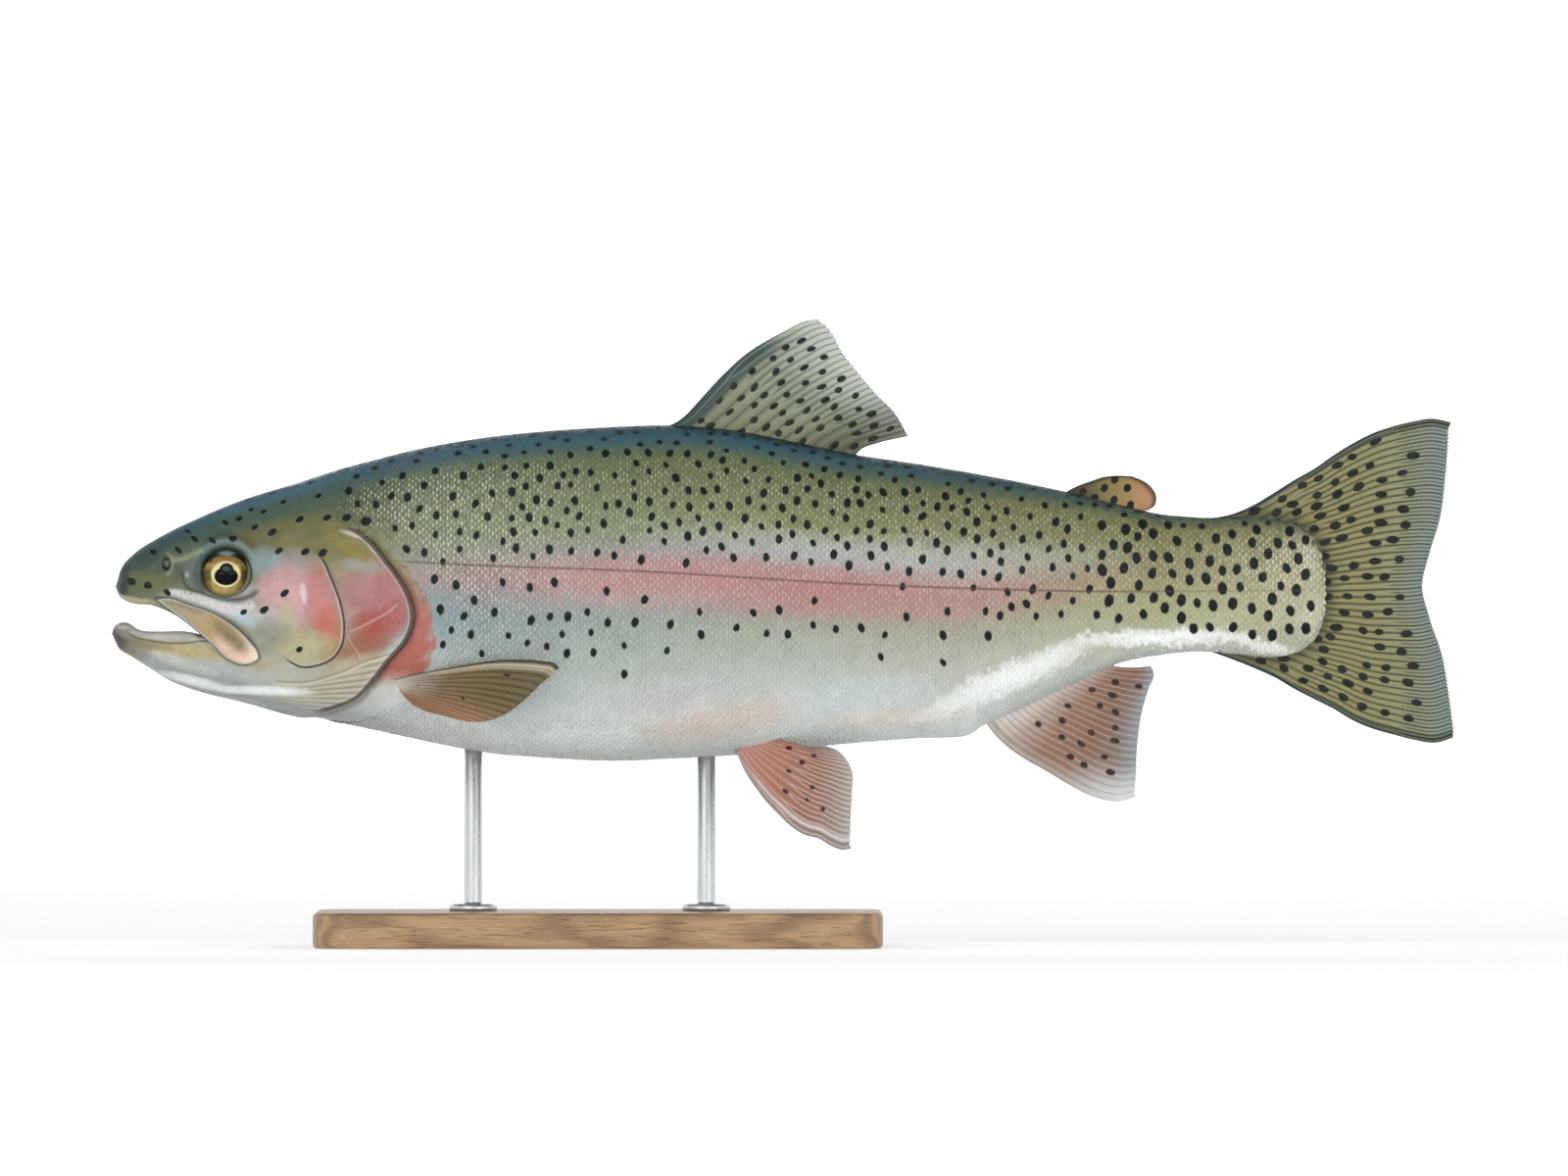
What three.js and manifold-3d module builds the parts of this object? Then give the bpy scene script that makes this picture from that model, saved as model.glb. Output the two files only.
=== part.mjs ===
// Rainbow trout, adult, life size, swimming level with its mouth ajar, on a plain display stand.
// Millimetres. The snout points along -X, the fish's left side faces -Y, and +Z is up.
// The origin is on the underside of the stand, below the middle of the fish's length.
//
// Every outline below is written in the fish's own side view: how far back from the tip of the
// lower jaw, and how high above the long axis, which runs from the snout to the fork of the tail.

import * as THREE from "three";
import { mergeVertices } from "three/addons/utils/BufferGeometryUtils.js";
import Module from "manifold-3d";

const wasm = await Module();
wasm.setup();

// ---------------------------------------------------------------- driving dimensions

const TOTAL_LENGTH = 450; // tip of the lower jaw to the tips of the tail fin
const AXIS_HEIGHT = 120; // long axis above the surface that the stand rests on
const GAP = 0.3; // between neighbouring pieces
const SNOUT_AT = 1.3; // the upper jaw ends just behind the lower jaw's tip
const MOUTH_CORNER_AT = 39.4;
const FLESH_ENDS_AT = 406.7; // where the scaly root of the tail fin ends
const TAIL_STALK_FROM = 353;
const AROUND = 28; // facets round the body
const STATIONS = 46; // steps along it

// Back, belly, widest line of the flank, and half width there.
const BACK = [
  [1.3, 2.6], [2, 5.2], [4.3, 8.5], [8.2, 12.2], [14.8, 16.4], [21.4, 20], [27.9, 23], [37.8, 27.3],
  [47.6, 30.9], [60.8, 34.8], [73.9, 39.1], [87.1, 42.7], [100.2, 46], [126.5, 50.6], [146, 52.6],
  [165.9, 53.9], [185.6, 54.5], [205.3, 53.2], [231.6, 48.3], [247.3, 45], [271, 41.4], [310.4, 34.2],
  [336.7, 28.2], [349.9, 25], [363, 23.7], [389.3, 23.3], [395.8, 21.7], [400.8, 18.7], [404, 14.5],
  [406, 7.5], [406.7, 1.5],
];
const BELLY = [
  [0, -16.5], [1.6, -19.7], [5.6, -22.3], [11.5, -26], [18.1, -30.2], [27.9, -34.2], [37.8, -36.8],
  [47.6, -38.8], [60.8, -41.7], [87.1, -47], [113.3, -52.6], [126.5, -54.9], [146, -56.5],
  [165.9, -57.5], [192.2, -56.5], [205.3, -55.8], [248, -51.6], [271, -49.9], [280.9, -49.4],
  [290.7, -45.7], [310.4, -37.1], [323.6, -30.9], [336.7, -25], [349.9, -22.3], [363, -21],
  [376, -22], [389.3, -23], [395.8, -21.7], [400.8, -19], [404, -14.8], [406, -7.5], [406.7, -1.5],
];
const FLANK = [
  [1.3, 0.6], [4.3, -3.3], [8.2, -4.6], [13.5, -5.3], [16.1, -6.6], [21.4, -9.2], [27.9, -13.5],
  [34.5, -17], [39.4, -18.7], [47.6, -17], [60.8, -12], [73.9, -8], [87, -5.5], [100, -4], [126, -3],
  [166, -2], [247, -1.5], [291, -2], [310, -1], [337, 1], [363, 1.2], [389, 0.2], [406.7, 0],
];
const HALF_WIDTH = [
  [1.3, 2], [2, 4], [4.3, 7], [8.2, 9.6], [14.8, 12.2], [21.4, 14], [27.9, 15.3], [39.4, 17.3],
  [47.6, 19], [60.8, 21.8], [73.9, 24.2], [87, 25.8], [100, 26.8], [126, 27.8], [166, 28.8],
  [186, 28.7], [205, 28], [247, 25.3], [271, 22.6], [291, 19.6], [310, 16.6], [337, 12.6],
  [350, 10.9], [363, 9.5], [376, 8.2], [389, 6.6], [396, 5.2], [401, 3.9], [404, 2.8], [406.7, 1.2],
];
// The lower jaw's own upper edge and half width, from its tip to the corner of the mouth.
const JAW_RIM = [
  [0, -14.5], [1.6, -11.8], [4.3, -11.5], [6.9, -13.1], [9.5, -14.1], [14.8, -14.8], [24.6, -14.8],
  [31.2, -16.4], [39.4, -19.4], [47.6, -18], [62, -13],
];
const JAW_HALF_WIDTH = [
  [0, 1.5], [1.6, 4.2], [4.3, 6.2], [8.2, 8.2], [14.8, 10.6], [21.4, 12.6], [27.9, 14.4],
  [39.4, 17.3], [47.6, 19], [62, 22],
];
// How square the cross-section is: 2 is an ellipse.
const SQUARENESS_ABOVE = [[0, 2.4], [20, 2.7], [60, 2.6], [110, 2.25], [400, 2.15]];
const SQUARENESS_BELOW = [[0, 2.1], [60, 2.2], [150, 2.35], [280, 2.2], [400, 2.15]];

// Free edge of the gill cover, from its upper end down and forward to the throat.
const GILL_EDGE = [
  [77.2, 21], [79.4, 20], [82.3, 19], [86.4, 16.1], [90.7, 11.2], [94.9, 5.9], [98.6, 0.2], [100.7, -4.9],
  [101.4, -9.9], [100.2, -14.8], [97.8, -19], [94, -23], [87.4, -31.5], [82.3, -36.8], [75.6, -39.6],
  [62, -42.5], [58, -47],
];
// Hind edge of the cheek, where the gill cover begins.
const CHEEK_EDGE = [[70.6, 10.5], [75.5, 3.3], [77.9, -6.6], [78.5, -14.8], [75.6, -22.3], [68, -26.3]];
// Upper jaw bone: a long blade that hangs over the corner of the mouth.
const MAXILLA = [
  [15.4, -3.4], [19, -4.6], [27, -7], [36, -11], [43, -16], [48.6, -20.6], [49.4, -23.4], [46.6, -25.2],
  [41, -24.6], [35.6, -21], [30.6, -16.8], [26.6, -12.4], [20.6, -9], [15.6, -6.2],
];

// Eye: a ball flattened from side to side, a little proud of the head.
const EYE = { at: 38.7, height: 4.9, out: 11.7, radius: 8.7, depth: 6.2 };

// Fins, each by its four edges: root, leading edge, margin and trailing edge.
const DORSAL = {
  root: [[191.5, 52], [216, 48.5], [247.6, 43]],
  lead: [[191.5, 52], [198.8, 65], [205.3, 72.2], [212, 78.2], [225, 86], [232.6, 89.6], [236.5, 90]],
  margin: [[236.5, 90], [239.2, 88.2], [245.4, 78.5], [251, 71.3], [256.6, 64.7], [262, 59.2], [266.7, 51]],
  trail: [[247.6, 43], [251, 46.6], [256.4, 48.6], [266.7, 51]],
};
const ADIPOSE = {
  root: [[318.3, 31.6], [330, 28.8], [342, 24.8]],
  lead: [[318.3, 31.6], [322.6, 34], [328, 36], [331.6, 37.2], [337, 37.7], [341.5, 37.5]],
  margin: [[341.5, 37.5], [345.2, 36], [348, 33.8], [349.6, 30.8], [349, 27.6], [346.9, 26.1]],
  trail: [[342, 24.8], [343.4, 25.6], [344.8, 25.9], [346.9, 26.1]],
};
const TAIL = {
  root: [[366, 23], [384, 14], [387, 0], [384, -14], [366, -20.6]],
  lead: [[366, 23], [376, 25.2], [382.7, 28.2], [389.3, 32.2], [396, 36.4], [402.4, 40], [409, 44.6],
    [415.5, 48.6], [422, 51.9], [428.7, 54.2], [435.3, 55.8], [442, 56.8], [448.2, 55.6]],
  margin: [[448.2, 55.6], [447.7, 47.3], [446.9, 37.5], [445, 23.3], [441.4, 11.5], [439, 0.6],
    [441.4, -9.6], [445.6, -22], [448, -35.5], [449.2, -44], [450, -49.6]],
  trail: [[366, -20.6], [376, -24.2], [382.7, -26.9], [389.3, -29.9], [396, -33.8], [402.4, -37.1],
    [409, -40.4], [415.5, -44.3], [422, -47], [428.7, -48.9], [435.3, -50.6], [443, -51.7], [450, -49.6]],
};
const ANAL = {
  root: [[291.5, -43.5], [309, -35.2], [331, -25]],
  lead: [[291.5, -43.5], [295.2, -48.6], [300.3, -53.5], [305.7, -57.2], [312.7, -61.1], [320.3, -65.7],
    [327.8, -69.5], [333, -71], [338, -71.2], [342.6, -69.6]],
  margin: [[342.6, -69.6], [343.2, -64.2], [343.4, -56.7], [344, -49], [345.3, -40.6], [347.2, -34],
    [349, -28.4], [348, -26]],
  trail: [[331, -25], [337, -26.2], [342, -26.5], [348, -26]],
};
const PELVIC = {
  root: [[208.6, -53.6], [213, -50.6], [217.6, -50]],
  lead: [[208.6, -53.6], [212.2, -61.6], [215.6, -66.7], [219.4, -71.6], [223.6, -75.9], [227.6, -79.6],
    [232.4, -82.4], [236.5, -83.4], [240.4, -85.7], [245, -87.2], [247.3, -86.7]],
  margin: [[247.3, -86.7], [247.5, -79.6], [248, -68.6], [248, -61], [246.2, -57.5], [243.3, -54.5], [239.5, -53]],
  trail: [[217.6, -50], [222, -50.4], [227.6, -51.4], [232.4, -52.9], [239.5, -53]],
};
const PECTORAL = {
  root: [[94.5, -30.6], [98, -36], [104.5, -40.6]],
  lead: [[94.5, -30.6], [104.8, -28.1], [114.3, -26.3], [124, -24.6], [131.3, -23.8], [138.5, -23.8],
    [144.8, -24.2], [149.2, -25.2], [150.2, -26.6]],
  margin: [[150.2, -26.6], [148.2, -29], [144.8, -31.9], [141.4, -35.3], [137, -39.1], [132.7, -42],
    [127.9, -44], [123, -44.7]],
  trail: [[104.5, -40.6], [108, -41.6], [112, -42.6], [117.2, -44], [123, -44.7]],
};
// Where the paired fins spring from the body, and how far they stand out at their tips.
const PELVIC_ROOT_OUT = 8.5;
const PELVIC_SPLAY = 0.42;
const PECTORAL_ROOT_OUT = 20.5;
const PECTORAL_SPLAY = 0.2;

// Stand: a flat wooden base and two steel rods with a foot flange, let into the belly.
const BASE = { length: 190, width: 78, thickness: 12, corner: 12, edge: 1.6, middle: -62 };
const ROD = { radius: 3, flangeRadius: 8, flangeHeight: 2.4, inBelly: 9, places: [-104, -26] };

// ---------------------------------------------------------------- finishes

const finish = (colour, roughness = 0.35, metalness = 0) =>
  new THREE.MeshStandardMaterial({ color: colour, roughness, metalness });
const SKIN = finish(0x7f8a5e);
const CHEEK = finish(0xb9816c);
const LIP = finish(0xa89a72);
const PALE_FLESH = finish(0xcfc0b4);
const EYE_GOLD = finish(0xc79a3e, 0.1);
const OLIVE_FIN = finish(0x8f9068, 0.4);
const ROSY_FIN = finish(0xb98a76, 0.4);
const BROWN_FIN = finish(0x96794f, 0.4);
const WOOD = finish(0xd8bf98, 0.5);
const STEEL = finish(0xb8babd, 0.3, 1);

// ---------------------------------------------------------------- curves and the body's form

// A smooth curve through [place, value] pairs, read as a function of place.
function through(pairs) {
  const last = pairs.length - 1;
  const run = (i) => pairs[i + 1][0] - pairs[i][0];
  const rise = (i) => (pairs[i + 1][1] - pairs[i][1]) / run(i);
  const slope = pairs.map((_, i) => {
    if (i === 0) return rise(0);
    if (i === last) return rise(last - 1);
    return (rise(i - 1) * run(i) + rise(i) * run(i - 1)) / (run(i - 1) + run(i));
  });
  return (place) => {
    const at = Math.min(Math.max(place, pairs[0][0]), pairs[last][0]);
    let i = 0;
    while (i < last - 1 && at > pairs[i + 1][0]) i += 1;
    const u = (at - pairs[i][0]) / run(i);
    const start = pairs[i][1] * (1 + 2 * u) * (1 - u) ** 2 + slope[i] * run(i) * u * (1 - u) ** 2;
    const end = pairs[i + 1][1] * u * u * (3 - 2 * u) - slope[i + 1] * run(i) * u * u * (1 - u);
    return start + end;
  };
}

const jawRim = through(JAW_RIM);
const squareAbove = through(SQUARENESS_ABOVE);
const squareBelow = through(SQUARENESS_BELOW);
const BODY = {
  top: through(BACK), bottom: through(BELLY), widest: through(FLANK), halfWidth: through(HALF_WIDTH),
};
const JAW = {
  top: (at) => jawRim(at) + 4, bottom: BODY.bottom, widest: jawRim, halfWidth: through(JAW_HALF_WIDTH),
};

// A point of a form's skin: turn is the angle from the top, and proud lifts it off the form.
function skinPoint(form, at, turn, proud = 0) {
  const above = Math.cos(turn) >= 0;
  const power = 2 / (above ? squareAbove(at) : squareBelow(at));
  const reach = above
    ? form.top(at) + proud - form.widest(at)
    : form.widest(at) - form.bottom(at) + proud;
  const across = (form.halfWidth(at) + proud) * Math.abs(Math.sin(turn)) ** power;
  const up = reach * Math.abs(Math.cos(turn)) ** power;
  return new THREE.Vector3(
    at - TOTAL_LENGTH / 2,
    -Math.sign(Math.sin(turn)) * across,
    form.widest(at) + (above ? up : -up),
  );
}

// ---------------------------------------------------------------- solids

function solid(geometry) {
  const bare = new THREE.BufferGeometry().setAttribute("position", geometry.getAttribute("position"));
  bare.setIndex(geometry.index);
  const merged = mergeVertices(bare, 1e-4);
  const corners = new Uint32Array(merged.index.array);
  const made = (triVerts) =>
    new wasm.Manifold(
      new wasm.Mesh({ numProp: 3, vertProperties: merged.attributes.position.array, triVerts }),
    );
  const first = made(corners);
  return first.volume() > 0 ? first : made(corners.reverse());
}

function geometryOf(manifold) {
  const mesh = manifold.getMesh();
  const places = new Float32Array(mesh.numVert * 3);
  for (let i = 0; i < mesh.numVert; i += 1)
    places.set(mesh.vertProperties.subarray(i * mesh.numProp, i * mesh.numProp + 3), i * 3);
  const geometry = new THREE.BufferGeometry()
    .setAttribute("position", new THREE.BufferAttribute(places, 3))
    .setIndex(new THREE.BufferAttribute(new Uint32Array(mesh.triVerts), 1));
  geometry.computeVertexNormals();
  return geometry;
}

// Moves every vertex of a geometry to where place(vertex) says.
function shaped(geometry, place) {
  const points = geometry.getAttribute("position");
  const vertex = new THREE.Vector3();
  for (let i = 0; i < points.count; i += 1) {
    vertex.fromBufferAttribute(points, i);
    const to = place(vertex);
    points.setXYZ(i, to.x, to.y, to.z);
  }
  return geometry;
}

// A closed form drawn over the body's sections from one station to another. The stations crowd
// towards the ends by the two easing powers.
function drawnForm(form, from, to, stations, { proud = 0, around = AROUND, ease = (f) => f } = {}) {
  const tube = new THREE.CylinderGeometry(1, 1, 1, around, stations);
  return solid(
    shaped(tube, (v) => {
      const at = from + (to - from) * ease(v.y + 0.5);
      if (Math.hypot(v.x, v.z) < 0.5) return new THREE.Vector3(at - TOTAL_LENGTH / 2, 0, form.widest(at));
      return skinPoint(form, at, Math.atan2(v.x, v.z), proud);
    }),
  );
}

// A plate with the side-view outline, standing from one Y to another.
function sidePlate(outline, fromY, toY) {
  const shape = new THREE.Shape(outline.map(([at, height]) => new THREE.Vector2(at - TOTAL_LENGTH / 2, height)));
  const plate = new THREE.ExtrudeGeometry(shape, { depth: toY - fromY, bevelEnabled: false });
  plate.rotateX(Math.PI / 2);
  plate.translate(0, toY, 0);
  return solid(plate);
}

const REACH = 60; // a cutter stands out past the body by this much
const acrossBody = (outline) => sidePlate(outline, -REACH, REACH);
const smoothLine = (points, steps) =>
  new THREE.SplineCurve(points.map(([at, height]) => new THREE.Vector2(at, height)))
    .getPoints(steps)
    .map((p) => [p.x, p.y]);

// ---------------------------------------------------------------- whole body, mouth and cuts

const crowdEnds = (f) => f - 0.11 * Math.sin(2 * Math.PI * f) - 0.02 * Math.sin(4 * Math.PI * f);
const wholeProud = (proud) => drawnForm(BODY, SNOUT_AT, FLESH_ENDS_AT, STATIONS, { proud, ease: crowdEnds });
const whole = wholeProud(0);

const lipLine = [[-4, -1], ...FLANK.filter(([at]) => at <= MOUTH_CORNER_AT)];
const jawHinge = [MOUTH_CORNER_AT + 3, FLANK.find(([at]) => at === MOUTH_CORNER_AT)[1]];
const THROAT = [60.5, -60];
const belowLips = acrossBody([...lipLine, jawHinge, THROAT, [-4, -60]]);
const jawZone = acrossBody([
  ...[[-4, -14.5], ...JAW_RIM.filter(([at]) => at <= MOUTH_CORNER_AT)],
  [jawHinge[0] - GAP, jawHinge[1] - 2 * GAP],
  [THROAT[0] - GAP, THROAT[1]],
  [-4, THROAT[1]],
]);

// The hollow inside the mouth, narrower than the jaws by the thickness of their rims.
const MOUTH_HOLLOW = {
  top: through([[2, -1.5], [8, 0.5], [20, 0], [34, -4], [50, -8], [64, -13]]),
  bottom: through([[2, -15.5], [8, -18.6], [20, -22], [34, -25.5], [50, -26.5], [64, -23]]),
  widest: through([[2, -9], [20, -12], [39, -18], [64, -18]]),
  halfWidth: through([[2, 0.8], [5, 4.2], [10, 6.6], [20, 10], [34, 13], [50, 13], [60, 9], [64, 2.5]]),
};
const hollow = drawnForm(MOUTH_HOLLOW, 3, 64, 9, { around: 16 });

const aheadOfGills = (back, up) =>
  acrossBody(
    [[76.4, 62], ...smoothLine(GILL_EDGE, 26), [-8, -47], [-8, 62]].map(([at, height]) => [at + back, height + up]),
  );
const stalkCut = acrossBody([
  [TAIL_STALK_FROM, 70], [TAIL_STALK_FROM + GAP, 70], [TAIL_STALK_FROM + GAP, -70], [TAIL_STALK_FROM, -70],
]);

function eyeBall(side, proud = 0) {
  const ball = new THREE.SphereGeometry(1, 16, 8);
  ball.rotateX(Math.PI / 2);
  ball.scale(EYE.radius + proud, EYE.depth + proud, EYE.radius + proud);
  ball.translate(EYE.at - TOTAL_LENGTH / 2, side * EYE.out, EYE.height);
  return solid(ball);
}

function rodSolid(x, proud = 0) {
  const { radius, flangeRadius, flangeHeight, inBelly } = ROD;
  const top = AXIS_HEIGHT + BODY.bottom(x + TOTAL_LENGTH / 2) + inBelly - BASE.thickness + proud;
  const outline = [
    [0, 0], [flangeRadius, 0], [flangeRadius, flangeHeight - 0.8], [flangeRadius - 0.8, flangeHeight],
    [radius + proud, flangeHeight], [radius + proud, top - 0.5], [radius + proud - 0.5, top], [0, top],
  ].map(([r, z]) => new THREE.Vector2(r, z));
  const rod = new THREE.LatheGeometry(outline, 14);
  rod.rotateX(Math.PI / 2);
  rod.translate(x, 0, BASE.thickness - AXIS_HEIGHT);
  return solid(rod);
}

// ---------------------------------------------------------------- fins

// The point of a fin at across (0 leading edge, 1 trailing edge) and out (0 root, 1 margin), blended
// from its four edges.
function finSheet(edges) {
  const line = Object.fromEntries(
    Object.entries(edges).map(([name, points]) => [
      name,
      new THREE.SplineCurve(points.map(([at, height]) => new THREE.Vector2(at, height))),
    ]),
  );
  const corner = (list, i) => new THREE.Vector2(...list.at(i));
  const corners = [corner(edges.root, 0), corner(edges.root, -1), corner(edges.margin, 0), corner(edges.margin, -1)];
  return (across, out) => {
    const a = Math.min(Math.max(across, 0), 1);
    const o = Math.min(Math.max(out, 0), 1);
    const point = line.lead.getPointAt(o).multiplyScalar(1 - a)
      .addScaledVector(line.trail.getPointAt(o), a)
      .addScaledVector(line.root.getPointAt(a), 1 - o)
      .addScaledVector(line.margin.getPointAt(a), o);
    const weights = [(1 - a) * (1 - o), a * (1 - o), (1 - a) * o, a * o];
    corners.forEach((c, i) => point.addScaledVector(c, -weights[i]));
    return point;
  };
}

// A fin as a thin plate: thick at the root, thin at the margin. out(across, out) is how far the
// middle of the plate stands from the fish's middle plane.
function finSolid(edges, rays, steps, { root = 2.6, rim = 0.8, standOff = () => 0 } = {}) {
  const sheet = finSheet(edges);
  const box = new THREE.BoxGeometry(1, 1, 1, rays, steps, 1);
  return solid(
    shaped(box, (v) => {
      const across = v.x + 0.5;
      const out = v.y + 0.5;
      const { x, y } = sheet(across, out);
      const thickness = rim + (root - rim) * (1 - out) ** 2;
      return new THREE.Vector3(x - TOTAL_LENGTH / 2, standOff(out) + Math.sign(v.z) * (thickness / 2), y);
    }),
  );
}

// ---------------------------------------------------------------- pieces

const sockets = ROD.places.map((x) => rodSolid(x, GAP));
const body = sockets.reduce((left, rod) => left.subtract(rod), whole);
const clearOfBody = wholeProud(GAP);

const head = body
  .intersect(aheadOfGills(0, 0))
  .subtract(belowLips)
  .subtract(hollow)
  .subtract(eyeBall(-1, GAP))
  .subtract(eyeBall(1, GAP));
const [trunk, tailStalk] = [[GAP, 0], [0, GAP], [0, -GAP]]
  .reduce((left, [back, up]) => left.subtract(aheadOfGills(back, up)), body)
  .subtract(stalkCut)
  .decompose()
  .filter((piece) => piece.volume() > 100)
  .sort((a, b) => a.boundingBox().min[0] - b.boundingBox().min[0]);

const lowerJaw = drawnForm(JAW, 0, 62, 14, { around: 24, ease: (f) => f ** 1.5 })
  .intersect(jawZone)
  .subtract(hollow);

const TONGUE = {
  top: through([[13, -17.4], [20, -16.2], [34, -17.4], [48, -20.6]]),
  bottom: through([[13, -18.6], [20, -21], [34, -24.2], [48, -24.6]]),
  widest: through([[13, -18], [20, -18.6], [34, -20.6], [48, -22.4]]),
  halfWidth: through([[13, 1.2], [16, 4], [24, 6], [36, 7], [48, 6.4]]),
};
const tongue = drawnForm(TONGUE, 13, 48, 6, { around: 12 }).intersect(
  drawnForm(MOUTH_HOLLOW, 3, 64, 9, { around: 16, proud: -GAP }),
);

// A plate of bone that lies on the side of the head, cut to a side-view outline.
function sidePiece(side, outline, proud) {
  const slab = side < 0 ? sidePlate(outline, -REACH, -1) : sidePlate(outline, 1, REACH);
  return wholeProud(proud).subtract(clearOfBody).intersect(slab);
}
const coverOutline = [...smoothLine(CHEEK_EDGE, 10).reverse(), ...smoothLine(GILL_EDGE.slice(0, 12), 20)];
const maxillaOutline = smoothLine([...MAXILLA, MAXILLA[0]], 24).slice(0, -1);

const paired = (name, make, material) =>
  [[-1, "left"], [1, "right"]].map(([side, word]) => [`${name}_${word}`, make(side), material]);

const pelvic = (side) =>
  finSolid(PELVIC, 8, 5, {
    root: 3, standOff: (out) => side * (PELVIC_ROOT_OUT + PELVIC_SPLAY * out * 32),
  }).subtract(clearOfBody);
const pectoral = (side) =>
  finSolid(PECTORAL, 8, 6, {
    root: 3.2, standOff: (out) => side * (PECTORAL_ROOT_OUT + PECTORAL_SPLAY * out * 52 + 7 * Math.sin(Math.PI * out / 2)),
  }).subtract(clearOfBody);

function baseSolid() {
  const { length, width, thickness, corner, edge, middle } = BASE;
  const [halfLength, halfWidth] = [length / 2 - edge, width / 2 - edge];
  const shape = new THREE.Shape();
  shape.moveTo(-halfLength + corner, -halfWidth);
  shape.lineTo(halfLength - corner, -halfWidth);
  shape.absarc(halfLength - corner, -halfWidth + corner, corner, -Math.PI / 2, 0);
  shape.lineTo(halfLength, halfWidth - corner);
  shape.absarc(halfLength - corner, halfWidth - corner, corner, 0, Math.PI / 2);
  shape.lineTo(-halfLength + corner, halfWidth);
  shape.absarc(-halfLength + corner, halfWidth - corner, corner, Math.PI / 2, Math.PI);
  shape.lineTo(-halfLength, -halfWidth + corner);
  shape.absarc(-halfLength + corner, -halfWidth + corner, corner, Math.PI, Math.PI * 1.5);
  const slab = new THREE.ExtrudeGeometry(shape, {
    depth: thickness - 2 * edge, bevelSize: edge, bevelThickness: edge, bevelSegments: 1, curveSegments: 4,
  });
  slab.translate(middle, 0, edge - AXIS_HEIGHT);
  return solid(slab);
}

const pieces = [
  ["head", head, SKIN],
  ["lower_jaw", lowerJaw, LIP],
  ["tongue", tongue, PALE_FLESH],
  ["trunk", trunk, SKIN],
  ["tail_stalk", tailStalk, SKIN],
  ...paired("gill_cover", (side) => sidePiece(side, coverOutline, 1.7), CHEEK),
  ...paired("maxilla", (side) => sidePiece(side, maxillaOutline, 2.1), LIP),
  ...paired("eye", (side) => eyeBall(side), EYE_GOLD),
  ["dorsal_fin", finSolid(DORSAL, 12, 5).subtract(clearOfBody), OLIVE_FIN],
  ["adipose_fin", finSolid(ADIPOSE, 6, 4, { root: 3.6, rim: 1.4 }).subtract(clearOfBody), OLIVE_FIN],
  ["tail_fin", finSolid(TAIL, 14, 6, { root: 3, rim: 0.8 }).subtract(clearOfBody), OLIVE_FIN],
  ["anal_fin", finSolid(ANAL, 10, 5).subtract(clearOfBody), ROSY_FIN],
  ...paired("pelvic_fin", pelvic, ROSY_FIN),
  ...paired("pectoral_fin", pectoral, BROWN_FIN),
  ["stand_base", baseSolid(), WOOD],
  ["stand_rod_front", rodSolid(ROD.places[0]), STEEL],
  ["stand_rod_rear", rodSolid(ROD.places[1]), STEEL],
];

const trout = new THREE.Group();
trout.position.z = AXIS_HEIGHT;
for (const [name, made, material] of pieces) {
  const mesh = new THREE.Mesh(geometryOf(made), material);
  mesh.name = name;
  trout.add(mesh);
}
const model = new THREE.Group();
model.add(trout);

export default model;
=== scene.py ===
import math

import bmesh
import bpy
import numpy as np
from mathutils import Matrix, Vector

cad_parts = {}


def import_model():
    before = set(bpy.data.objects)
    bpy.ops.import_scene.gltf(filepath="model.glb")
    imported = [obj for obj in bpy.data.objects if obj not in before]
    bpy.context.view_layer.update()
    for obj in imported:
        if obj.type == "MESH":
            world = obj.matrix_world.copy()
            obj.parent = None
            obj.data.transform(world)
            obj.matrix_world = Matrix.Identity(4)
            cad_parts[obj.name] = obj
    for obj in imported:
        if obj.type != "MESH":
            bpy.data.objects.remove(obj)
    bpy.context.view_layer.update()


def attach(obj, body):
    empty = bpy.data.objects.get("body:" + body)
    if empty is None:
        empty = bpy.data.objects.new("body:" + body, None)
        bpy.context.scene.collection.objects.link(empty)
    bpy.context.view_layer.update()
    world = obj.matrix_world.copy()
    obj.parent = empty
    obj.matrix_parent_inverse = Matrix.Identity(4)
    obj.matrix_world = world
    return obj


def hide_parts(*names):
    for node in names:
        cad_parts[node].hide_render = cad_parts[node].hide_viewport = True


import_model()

# A still, life-size rainbow trout on a plain display stand: its skin, scales, fins, eyes and finishes.
#
# The body is worked out in the fish's own measures, in millimetres: "at" is how far back from the tip
# of the lower jaw a place is, "up" how high above the long axis, and "out" how far from the middle plane.
# A "step" round the body is 0 on the back, 1 on the widest line of the flank and 2 on the belly.

MM = 0.001
TOTAL_LENGTH = 450
AXIS_HEIGHT = 120
SNOUT_AT = 1.3
MOUTH_CORNER_AT = 39.4
FLESH_ENDS_AT = 406.7
LEFT, RIGHT = -1, 1
SIDES = ((LEFT, "left"), (RIGHT, "right"))

# ---------------------------------------------------------------- the body's lines, as in the solids

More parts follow.
